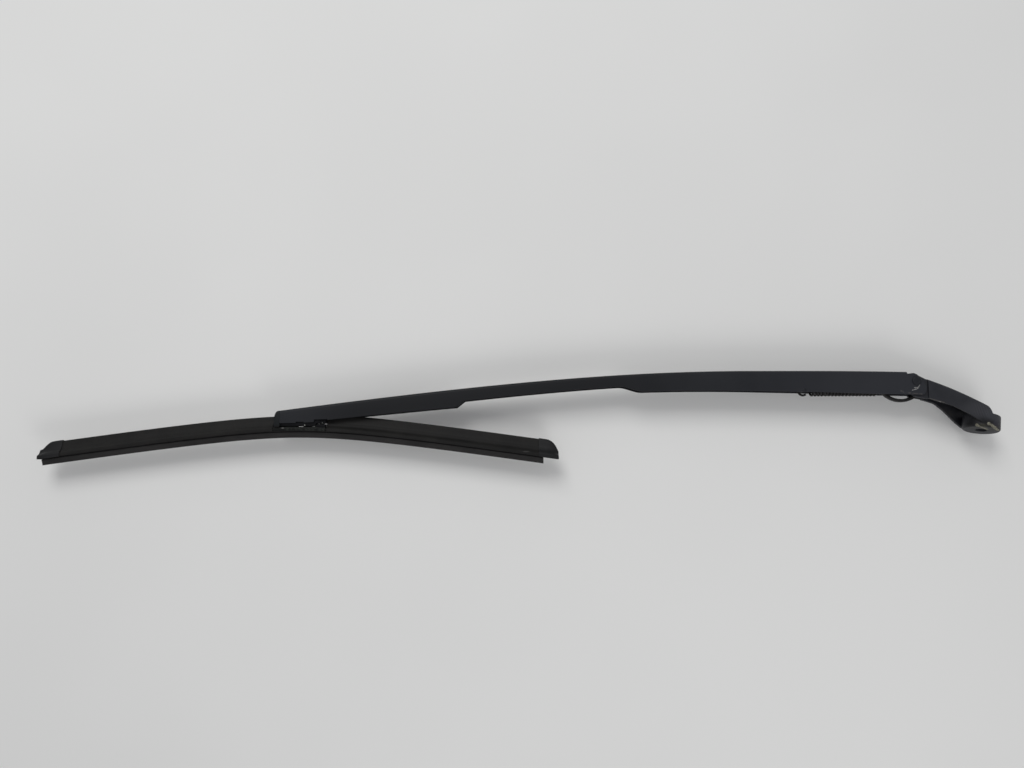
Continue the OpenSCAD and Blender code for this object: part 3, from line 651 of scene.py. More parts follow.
def newTree(name, inputs):
    tree = bpy.data.node_groups.new(name, "GeometryNodeTree")
    tree.interface.new_socket("Geometry", in_out="INPUT", socket_type="NodeSocketGeometry")
    for label, kind in inputs:
        tree.interface.new_socket(label, in_out="INPUT", socket_type=kind)
    tree.interface.new_socket("Geometry", in_out="OUTPUT", socket_type="NodeSocketGeometry")
    start = tree.nodes.new("NodeGroupInput")
    return tree, {socket.name: Value(tree, socket) for socket in start.outputs if socket.name}


def endTree(tree, shape, material):
    shape = addNode(tree, "GeometryNodeRealizeInstances", {}, {"Geometry": shape})
    shape = addNode(tree, "GeometryNodeSetMaterial", {}, {"Geometry": shape, "Material": material})
    end = tree.nodes.new("NodeGroupOutput")
    tree.links.new(shape.socket, end.inputs[0])
    return tree


def runTree(piece, tree, **values):
    grow = piece.modifiers.new(tree.name, "NODES")
    grow.node_group = tree
    for item in tree.interface.items_tree:
        if item.in_out == "INPUT" and item.name in values:
            grow[item.identifier] = values[item.name]
    piece.update_tag()
    return bake(piece)


def bladeBowTree():
    # bends a straight blade piece, given along X from the pivot, as the free blade bends
    tree, given = newTree("bladeBow", [("Slope", "NodeSocketFloat"), ("Softness", "NodeSocketFloat"),
                                      ("CrownX", "NodeSocketFloat"), ("CrownZ", "NodeSocketFloat"),
                                      ("Pivot", "NodeSocketVector"), ("Material", "NodeSocketMaterial")])
    where = tree.nodes.new("ShaderNodeSeparateXYZ")
    place = addNode(tree, "GeometryNodeInputPosition")
    tree.links.new(place.socket, where.inputs[0])
    x, y, up = (Value(tree, where.outputs[i]) for i in range(3))
    run = (x - given["CrownX"]) * given["Slope"]
    bent = root(run * run + given["Softness"] * given["Softness"])
    lean = run * given["Slope"] / bent
    z = given["CrownZ"] - bent + given["Softness"] + up * root(lean * lean + 1)
    joined = addNode(tree, "ShaderNodeCombineXYZ", {}, {0: x, 1: y, 2: z})
    moved = addNode(tree, "ShaderNodeVectorMath", {"operation": "ADD"}, {0: joined, 1: given["Pivot"]})
    shape = addNode(tree, "GeometryNodeSetPosition", {}, {"Geometry": given["Geometry"], "Position": moved})
    return endTree(tree, shape, given["Material"])


def rowTree():
    # the same small piece again and again along a line
    tree, given = newTree("pieceRow", [("Count", "NodeSocketInt"), ("First", "NodeSocketVector"),
                                      ("Pitch", "NodeSocketVector"), ("Material", "NodeSocketMaterial")])
    line = addNode(tree, "GeometryNodeMeshLine", {"mode": "OFFSET"}, {
        "Count": given["Count"], "Start Location": given["First"], "Offset": given["Pitch"]})
    shape = addNode(tree, "GeometryNodeInstanceOnPoints", {}, {"Points": line, "Instance": given["Geometry"]})
    return endTree(tree, shape, given["Material"])


bladeBow, pieceRow = bladeBowTree(), rowTree()
blade = {"front": 257.5, "rear": 256, "crownBack": 8.0, "pivotLift": 19.3, "slope": 0.145, "soft": 11.2,
         "capLength": 24, "capOverlap": 8}
frontEnd = blade["crownBack"] - blade["front"]
rearEnd = blade["crownBack"] + blade["rear"]


def bow(piece, material):
    return runTree(piece, bladeBow, Slope=blade["slope"], Softness=blade["soft"], CrownX=blade["crownBack"],
                   CrownZ=-blade["pivotLift"], Pivot=tuple(pivot), Material=material)


def prism(name, stations, outline):
    # an outline given in Y and Z, swept along X
    return solidPiece(name, loft([[(x, y, z) for y, z in outline] for x in stations]))


# arm pressing

# distances along the arm run forwards from the hinge
arm = {"sheet": 1.6, "rearWidth": 19, "frontWidth": 13.6, "crest": 10.2, "rearFall": 1.2, "fallLength": 110,
       "bendStart": 163, "slope": 0.16, "soft": 51.3, "corner": 2.6, "straightRear": 60, "earStart": 9,
       "lipRound": 0.3, "skew": 0.2, "rivetHole": 3.0, "anchorHole": 2.0, "anchor": (-111, -9.2),
       "depths": ((36, 22.6), (269, 17.9), (294, 11.7), (447, 12.6), (455, 18.1), (530, 16.7), (582, 15.7),
                  (582.5, 14.9), (595.4, 13.5), (595.9, 16), (612, 14.75), (630, 12.75)),
       "smoothStep": (269, 294), "notch": (605.6, 613.6, 0.8), "end": 629.6,
       "closeStations": (582, 582.5, 584, 588, 592, 595.4, 595.9, 599, 602),
       "tipStations": (608, 611, 616, 620, 624, 627)}
earShape = {"top": ((-8.6, 7.4), (-7.6, 7.2), (-5, 7.6), (-2.4, 7.75), (-0.8, 7.2), (0.6, 6.4), (2.2, 5.2),
                    (4.3, 2.6), (7.05, -1.2), (8.9, -4.2), (9.4, -5.6), (9.69, -6.6)),
            "low": ((4, -13.6), (6, -13.55), (7, -13.2), (7.8, -12.4), (8.6, -11.2), (9.04, -10.1),
                    (9.5, -8.6), (9.69, -7.6)),
            "channelSteps": (-7.6, 3), "roundSteps": (-6.8, 2, 16), "slopeSteps": (2.5, 8.5, 14),
            "endSteps": (8.7, 9.69, 8)}


def armTop(u):
    run = arm["slope"] * max(0, u - arm["bendStart"])
    fall = arm["rearFall"] * (max(0, arm["fallLength"] - u) / arm["fallLength"]) ** 2
    return arm["crest"] - fall - (math.sqrt(arm["soft"] ** 2 + run * run) - arm["soft"])


def armDepth(u):
    start, end = arm["smoothStep"]
    if start <= u <= end:
        deep, slender = lookup(start, arm["depths"]), lookup(end, arm["depths"])
        return deep + (slender - deep) * smooth((u - start) / (end - start))
    return lookup(u, arm["depths"])


def armHalf(u):
    share = max(0, u - arm["straightRear"]) / (armLength - arm["straightRear"])
    return (arm["rearWidth"] + (arm["frontWidth"] - arm["rearWidth"]) * share) / 2


def armLow(u):
    low = armTop(u) - armDepth(u)
    start, end, high = arm["notch"]
    if start <= u <= end:
        low = armTop(start) - armDepth(start) + high
    return low


def earLow(x):
    return armTop(-x) - arm["depths"][0][1] if x < 0 else lookup(x, earShape["low"])


def earRing(x, side, half):
    # section of one ear behind the channel, x from the hinge towards the head. The first one meets the
    # channel's wall, whose inner corner lies a little lower than its outer one
    t, e, skew = arm["sheet"], arm["lipRound"], arm["skew"]
    outer, inner, low = side * half, side * (half - t), earLow(x)
    top = armTop(-x) - arm["corner"]
    tops = [(outer, top), (outer - side * e, top - skew * e / t),
            (inner + side * e, top - skew * (t - e) / t), (inner, top - skew)]
    if x > -arm["earStart"]:
        top = lookup(x, rounded(earShape["top"], 4))
        tops = [(outer, top - e), (outer - side * e, top), (inner + side * e, top), (inner, top - e)]
    outline = [(outer, low + e), (outer, (low + top) / 2), *tops, (inner, low + e), (inner + side * e, low),
               (outer - side * e, low)]
    return [(x, y, z) for y, z in outline]


def armRing(u):
    # section of the channel: outside from left to right, then back along the inside
    r, t, e = arm["corner"], arm["sheet"], arm["lipRound"]
    b, top, low = armHalf(u), armTop(u), armLow(u)
    bi, ti, ri = b - t, top - t, r - t + arm["skew"]
    left = [(-b, low + e), (-b, (low + top - r) / 2)] + arc(-b + r, top - r, r, 180, 90, 8)
    right = arc(b - r, top - r, r, 90, 0, 8) + [(b, (low + top - r) / 2), (b, low + e), (b - e, low)]
    under = [(bi + e, low), (bi, low + e)] + arc(bi - ri, ti - ri, ri, 0, 90, 4)
    under += arc(-bi + ri, ti - ri, ri, 90, 180, 4) + [(-bi, low + e), (-bi - e, low), (-b + e, low)]
    return [(-u, y, z) for y, z in left + right + under]


def armStations():
    # close together at the steps and at the sharp sides of the notch
    start, end, _ = arm["notch"]
    near, far = arm["smoothStep"]
    edges = [at + hair for at in (start, end) for hair in (-0.02, 0.02)]
    return sorted([arm["earStart"], *spaced(10, near - 4, 60), *spaced(near, far, 14),
                   *spaced(far + 6, 445, 30), *spaced(446, 456, 10), *spaced(460, 580, 28),
                   *arm["closeStations"], *edges, *arm["tipStations"], arm["end"]])


def armPressing():
    verts, faces = loft([armRing(u) for u in armStations()], False)
    # the channel's end above the ears, then the two ears
    half = armHalf(arm["earStart"])
    stations = spaced(-arm["earStart"], *earShape["channelSteps"])
    for part in ("roundSteps", "slopeSteps", "endSteps"):
        stations += spaced(*earShape[part])
    ears = {side: [earRing(x, side, half) for x in stations] for side in (-1, 1)}
    corners = ears[1][0][3:5] + ears[-1][0][3:5][::-1]
    first = len(verts)
    verts += corners
    faces.append((*range(2, 20), first, first + 1, *range(25, 35), first + 2, first + 3))
    piece = solidPiece("armPressing", (verts, faces), *(loft(rings, False) for rings in ears.values()))
    holes = bored(arm["rivetHole"], 12, 0, 0), bored(arm["anchorHole"], 12, *arm["anchor"])
    cutWith(piece, solidPiece("holes", *holes))
    return finishPiece(aboutHinge(piece), armPaintAndSheen, "arm", ["arm_channel"], 30)


armPressing()
print("arm pressing ready")

# head casting

head = {"frontWidth": 19.4, "wall": 2.8, "skin": 3, "shoulder": 11.4, "flare": 17, "end": 70.5, "crown": 1.4,
        "endDrop": 2.6, "topStart": 2, "topFall": 27.4, "lipStart": 17.8, "lipDip": 4.6, "lipFall": 23.5,
        "nearEdge": ((11.4, -17.8), (17.6, -20.0), (23.3, -21.7), (29, -23.3), (34.6, -25.2), (40, -28),
                     (45.4, -31), (50.6, -34), (55.5, -38.3), (58.8, -40.6), (63, -42.6), (70.5, -42.9)),
        "lipSlope": 0.6, "corner": 3.4, "innerCorner": 2, "lean": 8, "pitch": 10,
        "grain": 0.5,
        "bossRadius": 16.8, "bossHeight": 14.5, "bore": 5, "boreEdge": 0.6, "seat": 9.5, "recess": 10,
        "recessMouth": (13.1, 69), "bushHole": 4.05, "linkHole": 2.0,
        "bulkhead": ((11.4, -8.7, -14.4), (13.8, 8.7, -0.7))}
cheek = {"middle": 5.2, "thick": 3, "outline": arc(0, 0, 6.5, 66, 205, 16)
         + [(-4.6, -12.4), (-2, -15.4), (12.4, -17.8), (12.4, 1.2)]}
link = {"pin": (6.3, -9.0), "pinRadius": 2.05, "bow": 22.9, "chord": 37.7, "thick": 3.2, "width": 5,
        "hookHole": 1.7, "eyeWall": 1.6, "edge": 1.1, "eyeEdge": 0.6, "grain": 0.3}
spindle = (Matrix.Translation(-hinge) @ Matrix.Rotation(math.radians(head["pitch"]), 4, "Y")
           @ Matrix.Rotation(math.radians(-head["lean"]), 4, "X"))


def headRing(x):
    # section of the hollow casting, x from the hinge towards the spindle
    share = (x - head["shoulder"]) / (headReach - head["shoulder"])
    wide = head["frontWidth"] / 2
    if x <= headReach:
        half = wide + (head["flare"] - wide) * share ** 1.25
    else:
        half = math.sqrt(head["flare"] ** 2 - (x - headReach) ** 2)
    beyond = max(0, x - headReach - 1.5) / 3
    top = (head["topStart"] - head["topFall"] * (0.92 * share + 0.08 * share ** 3)
           + head["crown"] * math.sin(math.pi * share) - head["endDrop"] * beyond ** 2)
    lip = (-head["lipStart"] - head["lipDip"] * min(share, 0.35) / 0.35
           - head["lipFall"] * smooth((share - 0.22) / 0.7))
    roll = math.radians(-head["lean"]) * smooth(min(1, share * 1.05))
    c, d = math.cos(roll), math.sin(roll)
    # the near wall's lower edge as the photo shows it, higher than the far wall's
    near = (lookup(x, rounded(head["nearEdge"])) + headDrop + half * d) / c - headDrop
    r, ri, slope = head["corner"], head["innerCorner"], head["lipSlope"]
    inner, under = half - head["wall"], top - head["skin"]
    outline = ([(-half, near)] + arc(-half + r, top - r, r, 180, 90, 8) + arc(half - r, top - r, r, 90, 0, 8)
               + [(half, lip), (inner, lip + slope)] + arc(inner - ri, under - ri, ri, 0, 90, 5)
               + arc(-inner + ri, under - ri, ri, 90, 180, 5) + [(-inner, near + slope)])
    return [(x, y * c - (z + headDrop) * d, y * d + (z + headDrop) * c - headDrop) for y, z in outline]


def headCasting():
    stations = spaced(head["shoulder"], headReach + 1.5, 44) + [headReach + past for past in (2.2, 3, 3.8)]
    stations.append(head["end"])
    r, high = head["bossRadius"], head["bossHeight"]
    drum = turned([(r - 1.4, 0), (r - 0.7, 0.35), (r, 1.3), (r, high - 0.6), (r - 0.5, high)], 96)
    cheeks = [plate(cheek["outline"], cheek["thick"], side * cheek["middle"]) for side in (-1, 1)]
    piece = solidPiece("headCasting", loft([headRing(x) for x in stations]), placed(drum, spindle),
                       block(*head["bulkhead"]), *cheeks)
    cast(piece, head["grain"], 4, 0.5)
    # the spindle's bore with the nut's flared recess above it, then the cross holes
    bore, edge, seat, recess = head["bore"], head["boreEdge"], head["seat"], head["recess"]
    well = turned([(bore + edge, -1), (bore + edge, 0.01), (bore, edge), (bore, seat), (recess, seat),
                   head["recessMouth"]], 72)
    cutWith(piece, solidPiece("holes", placed(well, spindle), bored(head["bushHole"], 8, 0, 0),
                              bored(head["linkHole"], 8, *link["pin"])))
    return finishPiece(aboutHinge(piece), headPaintShadeAndSheen, "head", ["arm_head"], 34)


headCasting()
print("head casting ready")


rivet = {"face": 9.52, "reach": 10.8, "radius": 4.6, "shank": 2.98}
anchorPin = {"radius": 1.98, "waist": 1.65}


def crossPin(name, half, x, z, sides, node):
    # a turned pin or rivet, the same on both sides, on the arm
    profile = half + [(radius, -y) for radius, y in reversed(half)]
    piece = aboutHinge(solidPiece(name, acrossY(profile, x, z, sides)))
    return finishPiece(piece, pinPaint, "arm", [node], 50)


def hingeRivet():
    # domed heads, a little dished in the middle, over the ears
    face, reach, r = rivet["face"], rivet["reach"], rivet["radius"]
    half = [(0.7, reach - 0.42), (2.2, reach - 0.3), (2.9, reach - 0.05), (3.5, reach), (4.1, reach - 0.2),
            (4.5, reach - 0.62), (r, face + 0.1), (r - 0.1, face), (rivet["shank"], face)]
    return crossPin("hingeRivet", half, 0, 0, 56, "hinge_rivet")


def springAnchorPin():
    # the middle is turned down a little, which leaves the spring's hook room to swing
    x, z = arm["anchor"]
    reach, r = armHalf(-x), anchorPin["radius"]
    half = [(0.8, reach + 0.35), (1.5, reach + 0.25), (1.95, reach - 0.05), (r, reach - 0.4),
            (r, reach - 2.3), (anchorPin["waist"], reach - 2.8)]
    return crossPin("anchorPin", half, x, z, 40, "spring_anchor_pin")


def springLink():
    # a bowed strap with rounded edges and an eye at each end
    px, pz = link["pin"]
    rise = math.sqrt(link["bow"] ** 2 - link["chord"] ** 2 / 4)
    lean = math.degrees(math.atan2(rise, link["chord"] / 2))
    cx, cz = px - link["chord"] / 2, pz + rise
    e, w, t = link["edge"], link["width"] / 2, link["thick"] / 2
    section = (arc(w - e, t - e, e, 0, 90, 4) + arc(-w + e, t - e, e, 90, 180, 4)
               + arc(-w + e, -t + e, e, 180, 270, 4) + arc(w - e, -t + e, e, 270, 360, 4))
    rings = []
    for angle in spaced(-180 + lean, -lean, 60):
        c, d = math.cos(math.radians(angle)), math.sin(math.radians(angle))
        rings.append([(cx + (link["bow"] + up) * c, y, cz + (link["bow"] + up) * d) for y, up in section])
    eyes, holes, edge = [], [], link["eyeEdge"]
    for x, hole in ((px, link["pinRadius"]), (px - link["chord"], link["hookHole"])):
        r = hole + link["eyeWall"]
        eyes.append(acrossY([(r - edge, -w), (r, -w + edge), (r, w - edge), (r - edge, w)], x, pz))
        holes.append(bored(hole, 6, x, pz))
    piece = cast(solidPiece("springLink", loft(rings), *eyes), link["grain"], 2, 0.5)
    cutWith(piece, solidPiece("holes", *holes))
    return finishPiece(aboutHinge(piece), springFinish, "link", ["spring_link"], 40)


# blade

# heights run upwards from the wiping edge, distances along the blade backwards from the pivot
spoilerShape = {"skirtHalf": 5.9, "skirtLow": 6.9, "skirtHigh": 9.4, "crestFront": 21.6, "crestRear": 23.6,
                "lean": 0.08, "frontEnd": -18.6, "rearStart": 34.35}
railZ, railT, railWide, gap = 8, 0.9, 4.1, 0.1
slotLow, slotHigh = railZ - gap, railZ + railT + gap
headHalf, web = 2.6, 1.0
railEdge = web + gap / 2 + railWide


def flank(crest, grow=0.0):
    # one side of a spoiler's section, from its foot up to the crest
    s = spoilerShape["skirtHalf"] + grow
    low, high = spoilerShape["skirtLow"] - grow, spoilerShape["skirtHigh"]
    lower = [(s - 0.35, low), (s, low + 0.35), (s, high - 0.5)]
    curve = rounded([(s, high), (s - 0.9, 10.6 + grow / 2), (s - 2.4, 12.2 + grow / 2), (2.5 + grow, 14.4),
                     (1.8 + grow, 16.6), (1.3 + grow, crest - 1.1)], 5)
    tip = [(1.0 + grow * 0.8, crest - 0.35 + grow * 0.5), (0.45 + grow / 2, crest + grow)]
    return lower + curve + tip


def crested(points):
    # both sides, with the crest leaning to the back
    foot, lean = spoilerShape["skirtHigh"], spoilerShape["lean"]
    return [(y + lean * max(0, z - foot), z) for y, z in bothSides(points)]


def spoiler(name, start, end, crest, node):
    inner = headHalf + 0.3
    claw = [(inner + 0.4, spoilerShape["skirtLow"]), (inner + 0.4, slotLow), (railEdge + gap, slotLow),
            (railEdge + gap, slotHigh), (inner, slotHigh), (inner, slotHigh + 1.6)]
    outline = crested(flank(crest)) + claw + mirrored(claw[::-1])
    piece = prism(name, spaced(start, end, 48), outline)
    bevelled(piece, 0.15, 2, 60)
    bow(piece, spoilerPlasticAndHighlight)
    return finishPiece(piece, spoilerPlasticAndHighlight, "blade", [node], 32)


capRoom = blade["capLength"] - blade["capOverlap"]
spoiler("frontSpoiler", frontEnd + capRoom, spoilerShape["frontEnd"], spoilerShape["crestFront"],
        "spoiler_front")
spoiler("rearSpoiler", spoilerShape["rearStart"], rearEnd - capRoom, spoilerShape["crestRear"],
        "spoiler_rear")


rubber = {"frontInset": 3, "rearInset": 15,
          "lip": ((0.3, 0), (0.36, 0.3), (0.4, 0.9), (0.75, 1.7), (1.45, 3.0), (2.1, 4.1), (2.35, 4.6),
                  (2.4, 5.35)),
          "neck": ((2.1, 5.6), (1.55, 5.7), (1.45, 5.8), (1.45, 6.3), (1.55, 6.4), (2.4, 6.5), (2.6, 6.9))}


def rubberStrip():
    half = [*rubber["lip"], *rubber["neck"], (headHalf, slotLow), (web, slotLow), (web, slotHigh),
            (headHalf, slotHigh), (headHalf - 0.5, slotHigh + 0.6)]
    stations = spaced(frontEnd + rubber["frontInset"], rearEnd - rubber["rearInset"], 110)
    piece = prism("rubberStrip", stations, bothSides(half))
    bow(piece, bladeRubber)
    return finishPiece(piece, bladeRubber, "blade", ["wiper_rubber"], 34)


rubberStrip()
print("spoilers and rubber ready")


# a cap's short is how much less it reaches over the spoiler, its fall how the crest sinks towards the tip
capShape = {"wall": 0.8, "pinch": 0.18, "tip": 1.2, "grain": 0.3,
            "shares": (0, 0.1, 0.2, 0.3, 0.4, 0.5, 0.58, 0.66, 0.73, 0.79, 0.84, 0.88, 0.91, 0.94, 0.96, 0.98,
                       0.99, 1)}
caps = {
    "frontCap": {"node": "end_cap_front", "way": -1, "end": frontEnd, "short": 2,
                 "crest": spoilerShape["crestFront"],
                 "fall": ((0, 1), (0.4, 1), (0.557, 0.957), (0.715, 0.785), (0.86, 0.55), (0.92, 0.49),
                          (1, 0.46))},
    "rearCap": {"node": "end_cap_rear", "way": 1, "end": rearEnd, "short": 4.5,
                "crest": spoilerShape["crestRear"],
                "fall": ((0, 1), (0.446, 0.99), (0.6, 0.93), (0.735, 0.83), (0.87, 0.62), (0.95, 0.42),
                         (1, 0.3))},
}


def endCap(name, node, way, end, crest, short, fall):
    # rounded shell over a spoiler's end: way is -1 in front and 1 behind
    length, overlap, high = blade["capLength"] - short, blade["capOverlap"] - short, spoilerShape["skirtHigh"]
    skin = crested(flank(crest, capShape["wall"]))
    rings = []
    for share in capShape["shares"]:
        k, x = lookup(share, rounded(fall, 5)), end - way * length * (1 - share)
        wide = 1 - capShape["pinch"] + capShape["pinch"] * k
        rings.append([(x, y * wide, z if z <= high else high + (z - high) * k) for y, z in skin])
    piece = solidPiece(name, loft(rings))
    # room for the spoiler's end, then for the rails and the rubber
    opening, side = end - way * (length + 1), railEdge + gap
    seat = end - way * (length - overlap - gap)
    cutWith(piece, prism("sleeve", [opening, seat], crested(flank(crest, gap))))
    room = [(side, spoilerShape["skirtLow"] - 2), (side, slotHigh), (headHalf + 0.3, slotHigh + 0.1),
            (headHalf, slotHigh + 0.9)]
    cutWith(piece, prism("tunnel", [opening, end - way * capShape["tip"]], bothSides(room)))
    cast(piece, capShape["grain"], 2, 0.4)
    bow(piece, capPlastic)
    return finishPiece(piece, capPlastic, "blade", [node], 60)


for name, cap in caps.items():
    endCap(name, **cap)
print("end caps ready")

# spring

spring = {"hookPlay": 1.15, "coilRadius": 5.5, "wire": 1.1, "wireSides": 10, "coils": 19.0, "coilSteps": 16,
          "lead": 2.8, "hookSteps": 14, "hookFrom": -50, "hookTurn": 200, "rearSteps": 12, "rearTurn": 150}


def springWire():
    # one line of points is laid out as hook, coils and hook by its index, and given the wire's thickness
    mid = spring["coilRadius"] - spring["wire"]
    ax, az = arm["anchor"][0] + spring["hookPlay"], arm["anchor"][1]
    ex, ez = link["pin"][0] - link["chord"], link["pin"][1]
    start = ax + mid + spring["lead"]
    rearX = ex - mid
    run = rearX - spring["wire"] - start
    tree, given = newTree("springWire", [("Wire", "NodeSocketFloat"), ("Coil", "NodeSocketFloat"),
                                        ("Coils", "NodeSocketFloat"), ("Steps", "NodeSocketInt"),
                                        ("Run", "NodeSocketFloat"), ("Material", "NodeSocketMaterial")])
    line = addNode(tree, "GeometryNodeMeshLine", {"mode": "OFFSET"},
                   {"Count": given["Steps"], "Offset": (0, 0, 0)})
    index = addNode(tree, "GeometryNodeInputIndex")
    hookSteps, rearSteps = spring["hookSteps"], spring["rearSteps"]
    coilSteps = given["Steps"] - hookSteps - rearSteps
    # front hook round the anchor pin
    a = (spring["hookFrom"] - spring["hookTurn"] * (index / hookSteps)) * (math.pi / 180)
    frontX, frontZ = wave(a, "COSINE") * given["Coil"] + ax, wave(a) * given["Coil"] + az
    # closed coils
    f = (index - hookSteps) / coilSteps
    turn = f * given["Coils"] * (2 * math.pi)
    coilX = f * given["Run"] + start
    coilY, coilZ = wave(turn) * given["Coil"], wave(turn, "COSINE") * given["Coil"] + (f * (ez - az) + az)
    # rear hook through the link's eye
    b = ((index - hookSteps - coilSteps) / rearSteps) * (spring["rearTurn"] * math.pi / 180)
    rearHookX, rearHookY = wave(b) * given["Coil"] + rearX, wave(b, "COSINE") * given["Coil"]
    inFront, inRear = index < hookSteps, index > coilSteps + hookSteps
    inCoil = 1 - inFront - inRear
    x = frontX * inFront + coilX * inCoil + rearHookX * inRear
    y = coilY * inCoil + rearHookY * inRear
    z = frontZ * inFront + coilZ * inCoil + inRear * ez
    place = addNode(tree, "ShaderNodeCombineXYZ", {}, {0: x, 1: y, 2: z})
    line = addNode(tree, "GeometryNodeSetPosition", {}, {"Geometry": line, "Position": place})
    curve = addNode(tree, "GeometryNodeMeshToCurve", {}, {"Mesh": line})
    curve = addNode(tree, "GeometryNodeCurveSplineType", {"spline_type": "CATMULL_ROM"}, {"Curve": curve})
    circle = addNode(tree, "GeometryNodeCurvePrimitiveCircle", {"mode": "RADIUS"},
                     {"Resolution": spring["wireSides"], "Radius": given["Wire"]})
    wire = addNode(tree, "GeometryNodeCurveToMesh", {},
                   {"Curve": curve, "Profile Curve": circle, "Fill Caps": True})
    endTree(tree, wire, given["Material"])
    piece = addObject("springWire", bpy.data.meshes.new("springWire"))
    steps = hookSteps + rearSteps + int(spring["coils"] * spring["coilSteps"]) + 1
    runTree(piece, tree, Wire=spring["wire"], Coil=mid, Coils=spring["coils"], Steps=steps, Run=run,
            Material=springFinish)
    tidyNormals(piece.data)
    return finishPiece(aboutHinge(piece), springFinish, "link", ["tension_spring"], 60)


springWire()
springLink()
hingeRivet()
springAnchorPin()
print("spring, link and pins ready")

# adapter, nose and connector

pivotReach, pivotDrop = armLength - pivotBack, headDrop - pivot.z
adapter = {"rear": armLength - 42, "front": arm["end"] - 0.2, "low": -pivotDrop - 7.8, "half": 5.1,
           "rib": 2.6, "foot": (armLength - 31, armLength - 32.5, armLength - 35), "heel": 2.8,
           "toothPitch": 2.2, "toothStart": armLength - 35.1, "teeth": 3, "toothLow": 2.2, "toothBack": 4,
           "toothHigh": 8.6, "slotReach": (12, 20), "slotHalf": 3.3, "slotDeep": 13.6, "pinHole": 2.25,
           "tooth": ((0.1, 0.5), (0.35, 0), (0.95, 0), (1.2, 0.5), (1.2, 4.4), (0.1, 4.4))}


def adapterBody():
    low, half, rear, front = adapter["low"], adapter["half"], adapter["rear"], adapter["front"]
    drop = arm["corner"] * 0.3
    top = [(-u, armTop(u) - arm["sheet"] - 0.1 - drop) for u in spaced(rear, front, 10)]
    foot, ribLow = adapter["foot"], low + adapter["rib"]
    outline = top + [(-front, low), (-foot[0], low), (-foot[1], ribLow), (-foot[2], ribLow),
                     (-foot[2] + 0.1, low + adapter["toothLow"]), (-rear, low + adapter["heel"])]
    piece = bevelled(solidPiece("adapterBody", plate(outline, 2 * half)), 0.3, 3, 35)
    # the blade's slot, the pivot's hole, and the sides that stay back behind the teeth
    under, wide, past = low - 1, adapter["slotHalf"], 9
    start = -pivotReach - adapter["slotReach"][0]
    slot = block((start, -wide, under), (start + adapter["slotReach"][1], wide, under + adapter["slotDeep"]))
    back, high = adapter["toothBack"], low + adapter["toothHigh"]
    steps = [block((-foot[2], y0, under), (-rear + 1, y1, high)) for y0, y1 in ((-past, -back), (back, past))]
    hole = bored(adapter["pinHole"], past, -pivotReach, -pivotDrop)
    cutWith(piece, solidPiece("holes", slot, hole, *steps))
    return finishPiece(aboutHinge(piece), adapterPlasticShadeAndGlints, "arm", ["blade_adapter"], 35)


def adapterTeeth():
    # short ribs on both sides of the adapter's heel, set out along it
    deep = adapter["half"] - adapter["toothBack"] - 0.02
    sides = [plate(adapter["tooth"], deep, side * (adapter["half"] - deep / 2)) for side in (-1, 1)]
    piece = bevelled(solidPiece("adapterTeeth", *sides), 0.12, 2, 35)
    first = (-adapter["toothStart"], 0, adapter["low"] + adapter["toothLow"])
    runTree(piece, pieceRow, Count=adapter["teeth"], First=first, Pitch=(adapter["toothPitch"], 0, 0.1),
            Material=adapterPlasticShadeAndGlints)
    return finishPiece(aboutHinge(piece), adapterPlasticShadeAndGlints, "arm", (), 35)


nose = {"length": 5.5, "corner": 2, "low": 0.6, "skirt": -1.7, "inner": 6.0, "groove": 0.15,
        "fall": ((0, 0), (0.36, 0.3), (0.62, 1), (0.84, 2.8), (0.95, 5), (1, 8.6)),
        "tuck": ((0, 0), (0.36, 0), (0.62, 0.05), (0.84, 0.1), (0.95, 0.2), (1, 0.35)),
        "shares": (0, 0.06, 0.12, 0.2, 0.3, 0.4, 0.5, 0.58, 0.66, 0.73, 0.79, 0.84, 0.88, 0.92, 0.95,
                   0.975, 0.99, 1)}


def adapterNose():
    # rounded end that clips over the arm's open end, with a skirt down each side of the blade
    base, half = arm["end"] + 0.1, armHalf(arm["end"])
    low, skirt = adapter["low"] + nose["low"], adapter["low"] + nose["skirt"]
    inner, r = nose["inner"], nose["corner"]
    fall, tuck = rounded(nose["fall"], 4), rounded(nose["tuck"], 4)
    rings = []
    for share in nose["shares"]:
        pinch = nose["groove"] if share == 0 else 0
        top = armTop(arm["end"]) - lookup(share, fall) - pinch
        side = half - lookup(share, tuck) - pinch
        waist = (skirt + top - r) / 2
        outline = [(-side, skirt), (-inner, skirt), (-inner, low), (inner, low), (inner, skirt),
                   (side, skirt), (side, waist), *arc(side - r, top - r, r, 0, 90, 7),
                   *arc(-side + r, top - r, r, 90, 180, 7), (-side, waist)]
        rings.append([(-base - nose["length"] * share, y, z) for y, z in outline])
    piece = bevelled(aboutHinge(solidPiece("adapterNose", loft(rings))), 0.18, 2, 50)
    return finishPiece(piece, nosePlasticAndShade, "arm", ["adapter_nose"], 35)


connector = {"front": -18.2, "rear": 33.5, "high": 10.6, "half": 5.7, "lugHalf": 3, "lugFoot": 5.5,
             "lugToe": 11, "lugRadius": 4.2, "pin": 2.2, "coverHalf": 4.4, "coverLow": 10.65,
             "cover": ((11.5, 11.1), (14, 11.35), (18, 11.2), (22.9, 11.1), (23.6, 11.6), (24.4, 13.2),
                       (24.9, 13.8), (29, 14.0), (33.1, 13.8))}


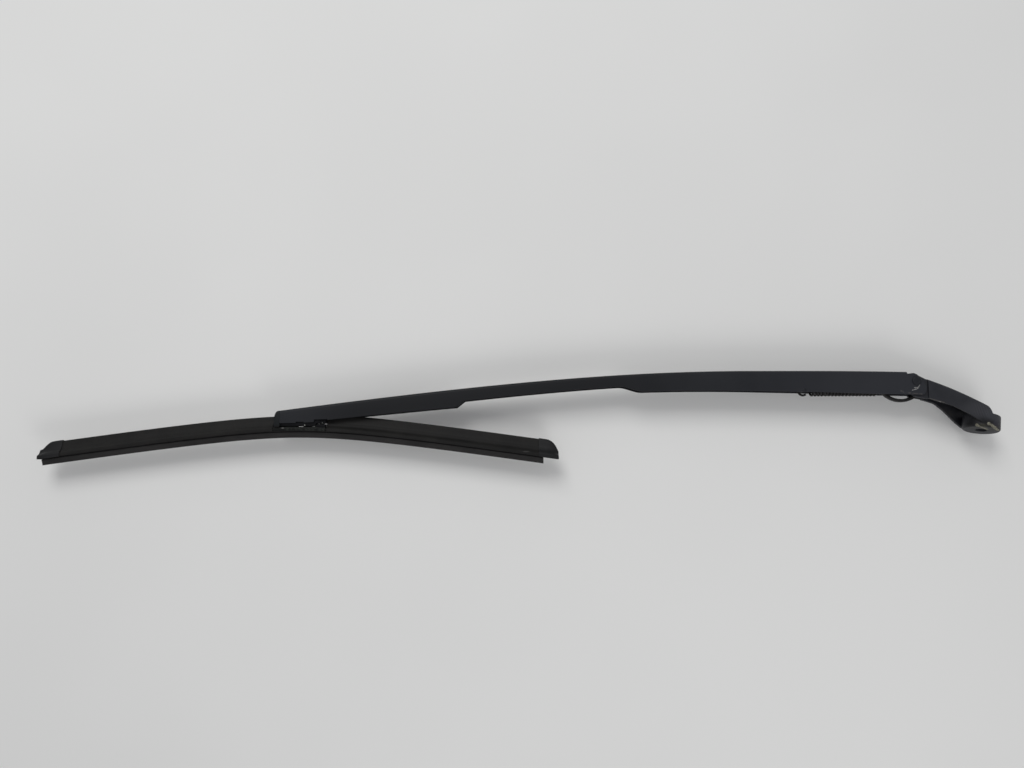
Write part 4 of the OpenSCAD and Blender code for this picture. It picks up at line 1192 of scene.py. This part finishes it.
def connectorBase():
    # a clamp round the rails, with the lug that the pivot goes through
    low, high, half, pocket = spoilerShape["skirtLow"], connector["high"], connector["half"], railEdge + gap
    side = [(half, low), (headHalf + 0.7, low), (headHalf + 0.7, slotLow), (pocket, slotLow),
            (pocket, slotHigh), (headHalf + 0.3, slotHigh), (headHalf + 0.3, high - 0.5)]
    outline = [(-half, low), (-half, high - 0.9), (-half + 0.3, high - 0.3), (-half + 1, high),
               (half - 1, high), (half - 0.3, high - 0.3), (half, high - 0.9), *side,
               *mirrored(side[:0:-1])]
    piece = prism("connectorBase", spaced(connector["front"], connector["rear"], 40), outline)
    bevelled(piece, 0.12, 2, 50)
    bow(piece, clampFinishWithGlints)
    foot, toe = connector["lugFoot"], connector["lugToe"]
    lugSide = [(-toe, high - 20.4), (-toe, high - 17.8), (-foot, high - 17.6),
               *arc(0, 0, connector["lugRadius"], 170, 10, 24), (foot, high - 19.6)]
    lug = bevelled(solidPiece("lug", plate(lugSide, 2 * connector["lugHalf"])), 0.3, 2, 60)
    hole = solidPiece("hole", bored(connector["pin"], 6, 0, 0))
    for tool, operation in ((lug, "UNION"), (hole, "DIFFERENCE")):
        tool.data.transform(Matrix.Translation(pivot))
        cutWith(piece, tool, operation)
    return finishPiece(piece, clampFinishWithGlints, "blade", ["connector_base"], 35)


def connectorCover():
    # a low cap on the clamp behind the lug, with a step up to its rear end
    half, low = connector["coverHalf"], connector["coverLow"]
    rings = []
    for x, high in connector["cover"]:
        side = [(half, low), (4.15, high - 0.5), (3.6, high)]
        rings.append([(x, y, z) for y, z in bothSides(side)])
    piece = bevelled(solidPiece("connectorCover", loft(rings)), 0.15, 2, 60)
    bow(piece, adapterPlasticShadeAndGlints)
    return finishPiece(piece, adapterPlasticShadeAndGlints, "blade", ["connector_cover"], 35)


adapterBody()
adapterTeeth()
adapterNose()
connectorBase()
connectorCover()
print("adapter, nose and connector ready")

# these pieces of the frame keep their shape and get their finish

keptFinishes = {
    "hinge_bush_near": bushPlastic, "hinge_bush_far": bushPlastic, "link_pin": pinSteel,
    "blade_pivot": pinSteel, "rail_near": railFinish, "rail_far": railFinish,
}
for node, finish in keptFinishes.items():
    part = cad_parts[node]
    part.data.materials.clear()
    part.data.materials.append(finish)

print("kept pieces painted")
